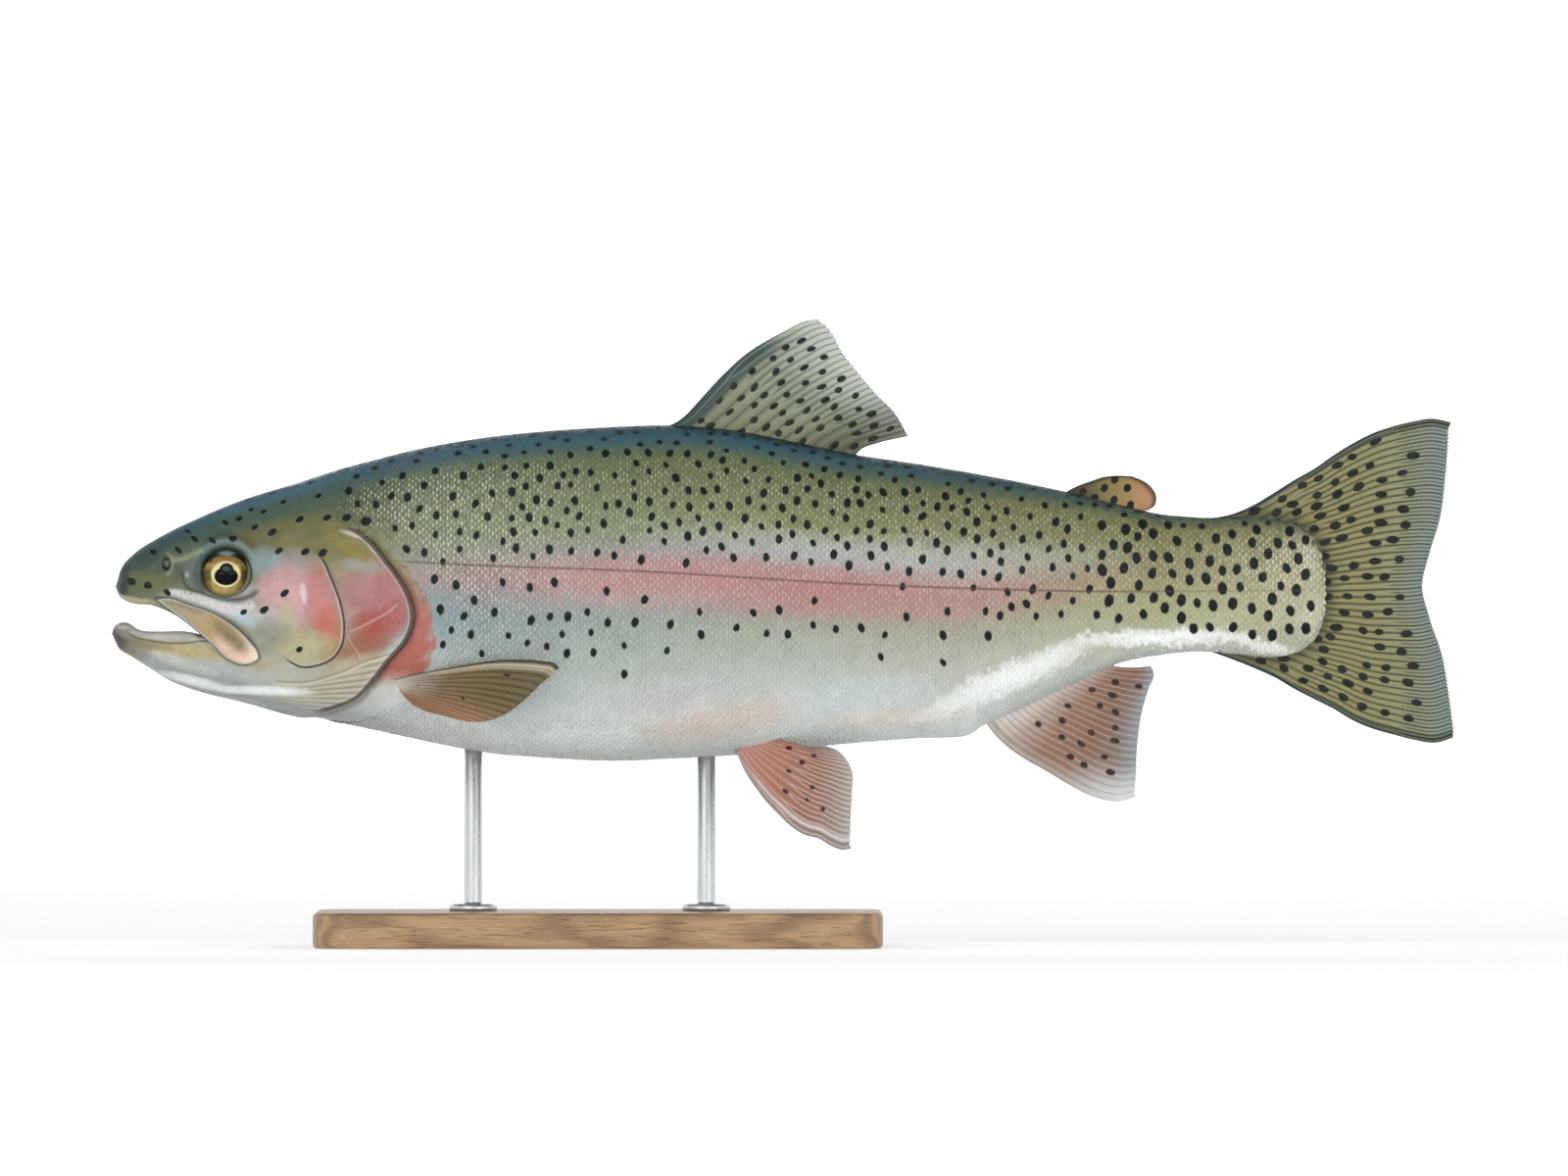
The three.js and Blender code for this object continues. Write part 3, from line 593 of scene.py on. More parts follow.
# The same on the belly and the tail's stalk; the palest of them are painted sheen and highlights low on the
# body.
BODY_STROKES = [
    # Painted sheen: the two pale strokes low on the belly behind the head.
    (116, -43, 16, 4, -14, "e6edee", 0.8),
    (150, -51, 45, 5, 0, "dfe9eb", 0.7),
    (140, -38, 28, 8, 4, "b4c1c2", 0.5),
    (205, -44, 34, 7, 10, "d3bfb3", 0.6),
    (190, -35, 26, 6, 10, "bcbcc2", 0.5),
    (250, -36, 30, 7, 6, "c3cfd5", 0.55),
    (262, -43, 30, 4, 4, "dcccc0", 0.5),
    # Painted highlights: the three white strokes low on the tail's stalk.
    (300, -30, 36, 5.5, 24, "f2f5f4", 0.9),
    (352, -16.4, 34, 3.4, 1, "f4f7f6", 0.95),
    (384, -19, 16, 2.6, -14, "eef0ec", 0.8),
    (396, 4, 12, 17, 0, "b9b79c", 0.6),
    (401, 10, 4, 9, 12, "c9c7b2", 0.6),
    (401, -9, 4, 9, -12, "c9c7b2", 0.6),
]
BEHIND_GILL_COLOURS = [(-32, "b49488"), (-27, "9a5243"), (-20, "a4584a"), (-12, "a8625a"),
                       (-4, "9f6858"), (3, "8f7356"), (10, "7e7750"), (16, "6d6f4a")]
BEHIND_GILL_WIDTHS = [(-30, 16), (-26, 15), (-22, 12.5), (-16, 8.6), (-8, 6.4), (3, 5), (12, 4),
                      (18, 3)]
OPEN_MOUTH, MOUTH_LINING = "b3a79c", "6b4741"


def bare_width(up):
    """How wide the bare skin behind the gill cover is, at each height."""
    return np.interp(up, *np.array(BEHIND_GILL_WIDTHS).T)


def banded(stops, value):
    """Colours read from stops of (value, colour)."""
    places = [place for place, _ in stops]
    table = np.array([colour(text) for _, text in stops])
    return np.stack([np.interp(value, places, table[:, k]) for k in range(3)], -1)


def toned(base, text, share):
    """Colours with a share of a hexadecimal one laid over them."""
    return base + (colour(text) - base) * share[..., None]


def face_details(at, up, step, painted):
    """The dark and pale rings and folds round the eye, the nostril and the lip, with painted shade in and
    round the eye's socket and painted highlights on the brow and before the eye.
    """
    ahead, above = at - EYE_AT, up - EYE_UP
    eye = eye_reach(at, up)
    crown = smoothly(above, 2, 7)
    painted = toned(painted, "75888c", 0.6 * bump_at(eye, EYE_RADIUS + 2.6, 0.9) * crown)
    # Painted shade under the brow, above the eye.
    painted = toned(painted, "3a494b", 0.7 * bump_at(eye, EYE_RADIUS + 0.9, 1.0) * crown)
    rim = bump_at(eye, EYE_RADIUS + 0.1, 0.7)
    # Painted shade round the socket's rim, weaker below the eye.
    painted = toned(painted, "2a3231", (0.35 + 0.55 * smoothly(above, -7, -2)) * rim)
    front = 1 - smoothly(oval_reach(at, up, SOCKET_FRONT), 0.5, 1.1)
    painted = toned(painted, "5c6566", 0.75 * front)
    before_eye = smoothly(-ahead, 2, 8) * (1 - smoothly(np.abs(above), 5, 8))
    # Painted shade round the front of the socket.
    painted = toned(painted, "363f40", 0.6 * bump_at(eye, EYE_RADIUS + 1.6, 1.2) * before_eye)
    painted = toned(painted, "a9b0ac", 0.6 * (1 - smoothly(oval_reach(at, up, SOCKET_GLINT), 0.3, 1.1)))
    away, shown = brow_line.drawn(at, up)
    # Painted highlight along the brow.
    painted = toned(painted, "8d9478", 0.6 * bump_at(away, 0, 0.9) * shown)
    away, shown = orbit_line.drawn(at, up)
    # The fold before and under the eye: its dark line, widening backwards into painted shade under the eye.
    painted = toned(painted, "262b2a", 0.85 * bump_at(away, 0, 0.4 + 0.5 * smoothly(at, 32, 44)) * shown)
    nostril = oval_reach(at, up, NOSTRIL)
    painted = toned(painted, "1f241f", 1.0 * (1 - smoothly(nostril, 1.05, 1.4)))
    painted = toned(painted, "7d8078", 0.8 * (1 - smoothly(nostril, 0.35, 0.8)))
    painted = toned(painted, "8f9482", 0.5 * bump_at(nostril, 1.75, 0.3) * smoothly(at, 18, 19.5))
    lip = smoothly(step, 0.93, 0.965) * (1 - smoothly(step, 0.985, 1.01)) * (at < 16)
    return toned(painted, "a39d83", 0.6 * lip)


def stroked(painted, at, up, strokes, where):
    """Colours with the soft strokes of a table laid over them."""
    for place, height, back, rise, tilt, text, strength in strokes:
        turn = math.radians(tilt)
        along = ((at - place) * math.cos(turn) + (up - height) * math.sin(turn)) / back
        across = ((up - height) * math.cos(turn) - (at - place) * math.sin(turn)) / rise
        share = strength * np.maximum(1 - along**2 - across**2, 0) ** 0.8
        painted = toned(painted, text, share * where)
    return painted


def skin_colour(form, at, up, step):
    """The painted colour at places on one side: bands first, then strokes and the face's details."""
    level = BODY.level(at, up) if form is BODY else np.clip(BODY.level(at, up), 0, 0.34)
    stations = sorted(BANDS)
    painted = np.zeros(at.shape + (3,))
    for i, station in enumerate(stations):
        before = stations[i - 1] if i else station - 1
        after = stations[i + 1] if i + 1 < len(stations) else station + 1
        share = np.interp(at, [before, station, after], [0, 1, 0])
        if i == 0:
            share = np.where(at <= station, 1, share)
        if i + 1 == len(stations):
            share = np.where(at >= station, 1, share)
        painted += banded(BANDS[station], level) * share[..., None]
    head = at < HEAD_ENDS_AT
    if head.any():
        head_at, head_up = at[head], up[head]
        ahead_of_gills = head_at < gill_at(step[head]) + 1
        painted[head] = stroked(painted[head], head_at, head_up, STROKES, ahead_of_gills)
    painted = stroked(painted, at, up, BODY_STROKES, at > gill_at(step))
    behind = at - gill_at(step)
    width = bare_width(up)
    band = smoothly(behind, -0.5, 0.5) * (1 - smoothly(behind - width, -1.2, 0.8))
    band = band * gill_open(step) * smoothly(up, -34, -29)
    painted += (banded(BEHIND_GILL_COLOURS, up) - painted) * (0.95 * band)[..., None]
    if form is BODY and head.any():
        painted[head] = face_details(head_at, head_up, step[head], painted[head])
    return painted


# ---------------------------------------------------------------- dark spots


class Spots:
    """Distance to the nearest spot's edge, in millimetres, over a flat unwrap: negative inside a spot."""

    FAR, CELL = 5.0, 0.25

    def __init__(self, low, high):
        self.low = np.array(low, float)
        size = np.ceil((np.array(high) - self.low) / self.CELL).astype(int) + 2
        self.field = np.full(size, self.FAR)

    def add(self, u, v, half_width, half_height, tilt=0.0):
        """Puts in an oval spot, turned by a tilt in radians."""
        reach = self.FAR + max(half_width, half_height)
        first = np.maximum(((np.array([u, v]) - reach - self.low) / self.CELL).astype(int), 0)
        last = np.maximum(((np.array([u, v]) + reach - self.low) / self.CELL).astype(int) + 1, 0)
        part = self.field[first[0] : last[0], first[1] : last[1]]
        if not part.size:
            return
        du = (first[0] + np.arange(part.shape[0]))[:, None] * self.CELL + self.low[0] - u
        dv = (first[1] + np.arange(part.shape[1]))[None, :] * self.CELL + self.low[1] - v
        along = (dv * math.cos(tilt) + du * math.sin(tilt)) / half_height
        across = (du * math.cos(tilt) - dv * math.sin(tilt)) / half_width
        np.minimum(part, (np.hypot(along, across) - 1) * (half_width + half_height) / 2, out=part)

    def read(self, u, v):
        x = np.clip((u - self.low[0]) / self.CELL, 0, self.field.shape[0] - 1.001)
        y = np.clip((v - self.low[1]) / self.CELL, 0, self.field.shape[1] - 1.001)
        i, j = x.astype(int), y.astype(int)
        fx, fy, f = x - i, y - j, self.field
        near = f[i, j] * (1 - fx) + f[i + 1, j] * fx
        far = f[i, j + 1] * (1 - fx) + f[i + 1, j + 1] * fx
        return near * (1 - fy) + far * fy


HEAD_SPOTS = [
    (6.9, 2.3), (12.5, 1), (19, -1.3), (22.7, 12.8), (14.1, 12.2), (28.2, 16.4), (34.2, 15.8),
    (41.1, 16.4), (25.6, 19.1), (38.4, 22), (43, 23.3), (47, 26.3), (51.2, 25.6), (57.8, 28.9),
    (69.6, 30.9), (48.3, 20.4), (54.2, 18.7), (63.4, 23), (72.6, 23.6), (79.2, 23.6), (85.7, 22.3),
    (56.5, 12.5), (65.4, 12.2), (71.3, 11.8), (58.5, -1.6), (44.7, -7.9), (51.6, -7.2), (63.4, -20.4),
    (46, 29.5), (62, 34.2), (73, 38), (36, 25.4), (54, 31.9), (67, 35.4),
]


def spacing(at, level):
    """How far apart spots lie; None where there are none."""
    if at > 296:
        low = np.interp(at, [296, 330, 380], [0.42, 0.3, 0.08])
        return None if level < low else 5.6 if level > 0.35 else 6.6
    if level > 0.93:
        return 6.0
    if level > 0.66:
        return 5.1 if at > 130 else 6.4
    if level > 0.6:
        return 6.2
    if level > 0.45:
        return 15 if 150 < at < 285 else 9
    if at < 172:
        return 6.6 if level > 0.32 else 12 if level > 0.25 else None
    return 8.5 if level > 0.36 else 17 if level > 0.27 else None


STREWN_TRIES = 15000


def strewn_spots(side):
    """The spots of one side: those of the head in their places, the others strewn at their spacing."""
    rng = np.random.default_rng(11 + side)
    spots = Spots((-2, -100), (410, 100))
    taken = []
    for at, up in HEAD_SPOTS:
        rise = float(BODY.rise(at, np.array(BODY.step_of(at, up))))
        shift = rng.normal(0, 0.6, 2) if side == RIGHT else (0, 0)
        size = np.interp(at, [0, 15, 30, 50, 90], [1.3, 1.1, 1.0, 1.15, 1.5]) * rng.uniform(0.9, 1.15)
        size *= 0.75 if up < -10 or up > 24 else 1
        spots.add(at + shift[0], rise + shift[1], 1.1 * size, 0.9 * size, rng.uniform(-0.2, 0.2))
        taken.append((at, rise))
    places, steps = rng.uniform(30, 402, STREWN_TRIES), rng.uniform(0, 1.7, STREWN_TRIES)
    rises = BODY.rise(places, steps)
    levels = BODY.level(places, BODY.point(places, steps)[:, 2])
    margins = BODY.rise(places, np.zeros(STREWN_TRIES)) - 0.8
    on_bare_skin = past_bare_skin(places, steps) < 2
    for at, rise, level, margin, bare in zip(places, rises, levels, margins, on_bare_skin):
        gap = spacing(at, level)
        if gap is None or bare or rise > margin:
            continue
        near = np.array(taken)
        if np.hypot((near[:, 0] - at) * 1.05, near[:, 1] - rise).min() < gap * rng.uniform(0.82, 1.1):
            continue
        taken.append((at, rise))
        if level > 0.93:
            size = rng.uniform(0.9, 1.2) * np.array([1.0, 1.05])
        elif at > 330:
            size = rng.uniform(0.85, 1.15) * np.array([1.35, 1.85])
        else:
            size = rng.uniform(0.78, 1.1) * np.array([1.08, 1.6])
        spots.add(at, rise, *size, rng.normal(0, 0.22))
    return spots


def skin_marks(form, place, at, step, side):
    """Colour and distances to marks for places on one side of the skin."""
    up = place[..., 2]
    spots = body_spots[side].read(at, BODY.rise(at, step)) if form is BODY else np.full(at.shape, Spots.FAR)
    fan, fan_on = gill_fan(at, up)
    marks = {
        "paint": skin_colour(form, at, up, step),
        "spots": spots,
        "lateral": np.clip(lateral_line.away(at, up), -4, 4),
        "level": BODY.level(at, up),
        "silver": (1 - smoothly(np.abs(under_eye_line.away(at, up)), 1.0, 2.2)) * (at < 60),
        "fan": fan,
        "fan_on": fan_on,
    }
    for name, line in DRAWN_LINES.items():
        marks[name], marks[name + "_on"] = line.drawn(at, up)
    return marks


def past_bare_skin(at, step):
    """How far back a place is from where the scales begin."""
    up = BODY.turned(at, BODY.turn(at, step))[1]
    start = 1 + (bare_width(up) - 1.4) * gill_open(step)
    return np.where(at > 60, at - gill_at(step) - start, -1)


body_spots = {side: strewn_spots(side) for side, _ in SIDES}


def scaled(at, step):
    """1 where the skin carries scales."""
    return smoothly(past_bare_skin(at, step), 0, 1.5)


# ---------------------------------------------------------------- skin

LIP_STEPS = np.linspace(0, 1, 17)
LIP_THICKNESS = 2.2
FAR_MARKS = {"spots": Spots.FAR, "lateral": 4.0, "level": 0.5, "silver": 0.0, "fan": 0.0, "fan_on": 0.0}
FAR_MARKS |= {name: 4.0 for name in DRAWN_LINES} | {name + "_on": 0.0 for name in DRAWN_LINES}


def mouth_gap(at):
    """How far apart the lips are."""
    return BODY.widest(at) - JAW.widest(at)


def mouth_lining(edge, edge_colour, arch):
    """Half a roof or floor of the mouth, from the edge of a lip in to the middle plane."""
    out = edge[:, None, 1] * (1 - LIP_STEPS)
    slope = np.gradient(edge[:, 1], np.maximum(edge[:, 0], np.arange(len(edge)) * 1e-6))
    inward = edge[:, None, 1] * LIP_STEPS / np.sqrt(1 + slope[:, None] ** 2)
    roll = 0.6 * smoothly(mouth_gap(edge[:, 0]), 0.4, 3)[:, None]
    roll = roll * np.sin(math.pi * np.clip(inward / LIP_THICKNESS, 0, 1))
    rise = arch * smoothly(inward, 1.6, 8) - np.sign(arch) * roll
    place = np.stack([np.broadcast_to(edge[:, None, 0], out.shape), out, edge[:, None, 2] + rise], -1)
    paint = toned(np.broadcast_to(edge_colour[:, None], place.shape), OPEN_MOUTH,
                  smoothly(inward, 0.2, 1.4))
    paint = toned(paint, MOUTH_LINING, smoothly(inward, 1.8, 6) * smoothly(edge[:, None, 0], 2, 30))
    return place, marks_of(paint)


def marks_of(paint):
    """The marks of a sheet that has nothing on it but its paint."""
    return {"paint": paint, **{mark: np.full(paint.shape[:2], value) for mark, value in FAR_MARKS.items()}}


def throat(ring):
    """Half of the gullet, from the back of the mouth to where it closes."""
    turn = np.linspace(0, math.pi / 2, 12)[:, None]
    centre = np.array([MOUTH_CORNER_AT, 0, -19.5])
    place = centre + (ring - centre) * np.cos(turn)[..., None]
    place[..., 0] += 20 * np.sin(turn)
    return place, marks_of(np.broadcast_to(colour(MOUTH_LINING) * 0.5, place.shape).copy())


def skin_sheets(side):
    """One side of the skin: body, snout, lower jaw, the mouth's roof and floor, and the throat."""
    upper_at = SNOUT_AT + (MOUTH_CORNER_AT - SNOUT_AT) * np.linspace(0, 1, 80)[:, None] ** 1.35
    jaw_at = MOUTH_CORNER_AT * np.linspace(0, 1, 80)[:, None] ** 1.35
    edge = gill_at(ALL_STEPS)
    open_ = gill_open(ALL_STEPS)
    head_at = MOUTH_CORNER_AT + (edge - MOUTH_CORNER_AT) * np.linspace(0, 1, 104)[:, None]
    plain = BEHIND_GILLS * np.arange(1, len(GILL_FOLD) + 1)[:, None] / len(GILL_FOLD)
    fold = np.array(GILL_FOLD)
    fold_at = edge + plain * (1 - open_) + fold[:, :1] * open_
    far = 1 - (1 - np.linspace(0, 1, 95)[1:, None]) ** 1.2
    body_at = (edge + BEHIND_GILLS) * (1 - far) + FLESH_ENDS_AT * far
    main_at = np.concatenate([head_at, fold_at, body_at])
    sunk = np.concatenate([0 * head_at, fold[:, 1:] * open_, 0 * body_at])
    raised = np.where(np.arange(len(main_at))[:, None] < len(head_at), cover_rise(main_at, ALL_STEPS), sunk)
    raised = raised - 0.12 * scaled(main_at, np.broadcast_to(ALL_STEPS, main_at.shape))
    main = skin_point(BODY, main_at, ALL_STEPS, raised)
    upper = skin_point(BODY, upper_at, UPPER_STEPS)
    jaw = skin_point(JAW, jaw_at, LOWER_STEPS)
    upper[-1] = main[0, : len(UPPER_STEPS)]
    jaw[-1] = main[0, len(UPPER_STEPS) - 1 :]
    sheets = []
    for form, at, steps, place in ((BODY, main_at, ALL_STEPS, main), (BODY, upper_at, UPPER_STEPS, upper),
                                   (JAW, jaw_at, LOWER_STEPS, jaw)):
        at, steps = np.broadcast_arrays(at, steps)
        sheets.append((place, skin_marks(form, place, at, steps, side)))
    roof = mouth_lining(upper[:, -1], sheets[1][1]["paint"][:, -1], 5.5)
    floor = mouth_lining(jaw[:, 0], sheets[2][1]["paint"][:, 0], -5.5)
    ring = np.concatenate([roof[0][-1, ::-1], floor[0][-1, 1:]])
    sheets += [roof, floor, throat(ring)]
    for place, _ in sheets:
        place[..., 1] *= side
    return sheets


skin = make_piece(
    "skin", skin_sheets(LEFT) + skin_sheets(RIGHT),
    ("head", "lower_jaw", "trunk", "tail_stalk", "gill_cover_left", "gill_cover_right"),
)

# ---------------------------------------------------------------- scales

SCALE_LENGTH, SCALE_PITCH, SCALE_HALF_WIDTH = 3.0, 2.3, 1.3
PATCH_LENGTH, PATCH_WIDTH, UNWRAP_GIRTH = 0.0028, 0.0028, 400
SCALE_ACROSS = np.linspace(-1, 1, 5)
SCALE_ALONG = np.array([0, 0.45, 0.8, 1, 1.02])
SCALE_LIFT = np.array([-0.14, 0.08, 0.2, 0.22, -0.14])


def scale_roots(side):
    """Where each scale is rooted, in staggered rows that follow the flank."""
    rng = np.random.default_rng(5 + side)
    columns = np.arange(72, FLESH_ENDS_AT - 1.2, SCALE_PITCH / 2)
    rows = np.arange(-95, 95, SCALE_PITCH)
    at, rise = np.meshgrid(columns, rows, indexing="ij")
    rise = rise + (np.arange(len(columns)) % 2)[:, None] * SCALE_PITCH / 2
    at, rise = at.ravel(), rise.ravel()
    at = at + rng.normal(0, 0.13, at.shape)
    rise = rise + rng.normal(0, 0.13, at.shape)
    step = BODY.step_at(at, rise)
    kept = (step > 0.004) & (step < 1.996) & (scaled(at + 1.5, step) > 0.5)
    return at[kept], rise[kept], rng.normal(0, 0.07, kept.sum()), rng.normal(0, 1, (2, kept.sum()))


def many_scales(name, count):
    """One mesh of that many plain scales, not yet put in place."""
    single = bmesh.new()
    parts = len(SCALE_ACROSS) - 1
    bmesh.ops.create_grid(single, x_segments=parts, y_segments=parts, size=1)
    maker = bpy.data.objects.new("scale_maker", to_mesh(single, "one_scale"))
    bpy.context.scene.collection.objects.link(maker)
    maker.modifiers.new("rows", "ARRAY").count = count
    mesh = bpy.data.meshes.new_from_object(maker.evaluated_get(bpy.context.evaluated_depsgraph_get()))
    bpy.data.objects.remove(maker)
    mesh.name = name
    return mesh


def scales(name, side, at, rise, turn, lean):
    """A stretch of one side's scales as one mesh, from their roots, their turns and how they lean."""
    count = len(at)
    across, along = np.meshgrid(SCALE_ACROSS * side, SCALE_ALONG)
    at, rise, turn, lean_across, lean_along = (row[:, None, None] for row in (at, rise, turn, *lean))
    size = np.interp(at, [90, 130, 300, 400], [0.9, 1.05, 1.0, 0.85])
    back = along * (1 - 0.3 * across**2) * SCALE_LENGTH * size
    sidewise = across * SCALE_HALF_WIDTH * size
    place_at = at + back * np.cos(turn) - sidewise * np.sin(turn) - 0.6
    place_rise = rise + sidewise * np.cos(turn) + back * np.sin(turn)
    past_flesh = np.maximum(place_at - FLESH_ENDS_AT + 0.8, 0)
    place_at = place_at - past_flesh
    step = BODY.step_at(place_at, place_rise)
    lift = SCALE_LIFT[:, None] + 0.05 * (1 - across**2) * (along > 0) * (along < 1.01)
    tilt = 0.035 * lean_across * across + 0.03 * lean_along * along
    lift = lift + (along > 0.1) * (along < 1.01) * tilt
    point = BODY.point(place_at, step)
    lift = lift * (1 - 0.75 * smoothly(BODY.level(place_at, point[..., 2]), 0.88, 0.96))
    away = lateral_line.away(place_at, point[..., 2])
    relief = body_relief(place_at, step, away)
    place = point + BODY.normal(place_at, step) * (lift + relief)[..., None]
    place[..., 0] += past_flesh
    place[..., 1] = np.maximum(place[..., 1], np.where(past_flesh > 0, 1.15, 0)) * side
    mesh = many_scales(name, count)
    mesh.vertices.foreach_set("co", world(place).astype(np.float32).ravel())
    mesh.update()
    rng = np.random.default_rng(count)
    up = point[..., 2]
    colours = skin_colour(BODY, place_at + 0.8 * lean_across, up + 0.6 * lean_along, step)
    set_mark(mesh, "paint", colours.reshape(-1, 3))
    for mark, values in {
        "spots": body_spots[side].read(place_at, BODY.rise(place_at, step)),
        "lateral": np.clip(away, -4, 4),
        "tone": np.broadcast_to(rng.uniform(0, 1, count)[:, None, None], away.shape),
        "level": BODY.level(place_at, up),
        "grown": smoothly(past_bare_skin(place_at, step), -1, 14),
        # crisp: how strongly the scales' painted highlights and painted shade show.
        "crisp": 1 - smoothly(place_at, 100, 175) + 1.6 * smoothly(place_at, 368, 395),
    }.items():
        set_mark(mesh, mark, values.reshape(-1, 1))
    middle = 0.25 if side == LEFT else 0.75
    bake = np.stack([
        at / TOTAL_LENGTH + PATCH_LENGTH * along,
        middle + rise / UNWRAP_GIRTH + PATCH_WIDTH / 2 * across + 0 * along,
    ], -1)
    own = np.stack([(across * side + 1) / 2 + 0 * away, along / SCALE_ALONG[-1] + 0 * away], -1)
    corners = np.empty(len(mesh.loops), np.int32)
    mesh.loops.foreach_get("vertex_index", corners)
    for layer_name, spread in (("OFBake", bake), ("Scale", own)):
        layer = mesh.uv_layers.get(layer_name) or mesh.uv_layers.new(name=layer_name)
        layer.data.foreach_set("uv", spread.reshape(-1, 2)[corners].astype(np.float32).ravel())
    return join_model(mesh)


coat = []
for side, side_name in SIDES:
    at, rise, turn, lean = scale_roots(side)
    order = np.argsort(at, kind="stable")
    for part, part_name in zip(np.array_split(order, 3), ("front", "middle", "rear")):
        name = f"scales_{side_name}_{part_name}"
        coat.append(scales(name, side, at[part], rise[part], turn[part], lean[:, part]))

# ---------------------------------------------------------------- fins


def arc_line(points):
    """A smooth line read by its share of the length: at and up."""
    line = Line(points, 240).points
    reach = np.append(0, np.cumsum(np.hypot(*np.diff(line, axis=0).T)))
    reach /= reach[-1]
    return lambda share: np.stack([np.interp(share, reach, line[:, k]) for k in (0, 1)], -1)


RAY_EVENNESS = 2.2  # how soon the rays turn straight, away from a fin's edges


class FinSheet:
    """A fin's flat sheet: across from its leading to its trailing edge, out from root to margin."""

    def __init__(self, root, lead, margin, trail):
        self.root, self.lead, self.margin, self.trail = map(arc_line, (root, lead, margin, trail))
        self.corners = np.array([root[0], root[-1], margin[0], margin[-1]], float)

    def point(self, across, out):
        a, o = across[..., None], out[..., None]
        straight = self.root(across) * (1 - o) + self.margin(across) * o
        lead_bend = self.lead(out) - self.corners[0] * (1 - o) - self.corners[2] * o
        trail_bend = self.trail(out) - self.corners[1] * (1 - o) - self.corners[3] * o
        return straight + lead_bend * (1 - a) ** RAY_EVENNESS + trail_bend * a**RAY_EVENNESS

    def ray_tilt(self, across, out):
        run = self.point(across, out + 0.01) - self.point(across, out - 0.01)
        return np.arctan2(run[..., 0], run[..., 1])


DORSAL = FinSheet(
    [(184.5, 53.8), (216, 48.5), (247.6, 43)],
    [(184.5, 53.8), (188.9, 55.6), (192.2, 58.1), (195.4, 61.5), (198.8, 65.3), (205.3, 72.2),
     (212, 78.2), (225, 86), (232.6, 89.6), (236.5, 90)],
    [(236.5, 90), (239.2, 88.2), (245.4, 78.5), (251, 71.3), (256.6, 64.7), (262, 59.2), (266.7, 51)],
    [(247.6, 43), (251, 46.6), (256.4, 48.6), (266.7, 51)],
)
ADIPOSE = FinSheet(
    [(318.3, 31.6), (330, 28.8), (342, 24.8)],
    [(318.3, 31.6), (322.6, 34), (328, 36), (331.6, 37.2), (337, 37.7), (341.5, 37.5)],
    [(341.5, 37.5), (345.2, 36), (348, 33.8), (349.6, 30.8), (349, 27.6), (346.9, 26.1)],
    [(342, 24.8), (343.4, 25.6), (344.8, 25.9), (346.9, 26.1)],
)
TAIL = FinSheet(
    [(366, 23), (384, 14), (387, 0), (384, -14), (366, -20.6)],
    [(366, 23), (376, 25.2), (382.7, 28.2), (389.3, 32.2), (396, 36.4), (402.4, 40), (409, 44.6),
     (415.5, 48.6), (422, 51.9), (428.7, 54.2), (435.3, 55.8), (442, 56.8), (448.2, 55.6)],
    [(448.2, 55.6), (447.7, 47.3), (446.9, 37.5), (445, 23.3), (441.4, 11.5), (439, 0.6), (441.4, -9.6),
     (445.6, -22), (448, -35.5), (449.2, -44), (450, -49.6)],
    [(366, -20.6), (376, -24.2), (382.7, -26.9), (389.3, -29.9), (396, -33.8), (402.4, -37.1),
     (409, -40.4), (415.5, -44.3), (422, -47), (428.7, -48.9), (435.3, -50.6), (443, -51.7),
     (450, -49.6)],
)
ANAL = FinSheet(
    [(291.5, -43.5), (309, -35.2), (331, -25)],
    [(291.5, -43.5), (295.2, -48.6), (300.3, -53.5), (305.7, -57.2), (312.7, -61.1), (320.3, -65.7),
     (327.8, -69.5), (333, -71), (338, -71.2), (342.6, -69.6)],
    [(342.6, -69.6), (343.2, -64.2), (343.4, -56.7), (344, -49), (345.3, -40.6), (347.2, -34),
     (349, -28.4), (348, -26)],
    [(331, -25), (337, -26.2), (342, -26.5), (348, -26)],
)
PELVIC = FinSheet(
    [(208.6, -53.6), (213, -50.6), (217.6, -50)],
    [(208.6, -53.6), (212.2, -61.6), (215.6, -66.7), (219.4, -71.6), (223.6, -75.9), (227.6, -79.6),
     (232.4, -82.4), (236.5, -83.4), (240.4, -85.7), (245, -87.2), (247.3, -86.7)],
    [(247.3, -86.7), (247.5, -79.6), (248, -68.6), (248, -61), (246.2, -57.5), (243.3, -54.5),
     (239.5, -53)],
    [(217.6, -50), (222, -50.4), (227.6, -51.4), (232.4, -52.9), (239.5, -53)],
)
PECTORAL = FinSheet(
    [(94.5, -30.6), (96.2, -33.4), (98.4, -36.2)],
    [(94.5, -30.6), (104.8, -28.1), (114.3, -26.3), (124, -24.6), (131.3, -23.8), (138.5, -23.8),
     (144.8, -24.2), (149.2, -25.2), (150.2, -26.6)],
    [(150.2, -26.6), (148.2, -29), (144.8, -31.9), (141.4, -35.3), (137, -39.1), (132.7, -42),
     (127.9, -44), (123, -44.7), (117.2, -44), (112, -42.6), (107, -41.4)],
    [(98.4, -36.2), (101.2, -38.8), (104.5, -40.6), (107, -41.4)],
)
COLUMNS_PER_RAY = 10


def fork_shares(out, forks):
    """How far a ray's two halves have drawn apart at each of its forks, as a share of a ray's room."""
    first = 0.25 * smoothly(out, forks[0] - 0.06, forks[0] + 0.14)
    return first, 0.125 * smoothly(out, forks[1] - 0.06, forks[1] + 0.1)


def ray_ridge(across, out, rays, forks):
    """1 along the middle of each ray, which forks twice on its way out, and 0 between rays."""
    place = np.mod(across * rays, 1)
    first, second = fork_shares(out, forks)
    gaps = [np.abs(place - (0.5 + a * first + b * second)) for a in (-1, 1) for b in (-1, 1)]
    return np.exp(-((np.minimum.reduce(gaps) / (0.13 - 0.06 * out)) ** 2))


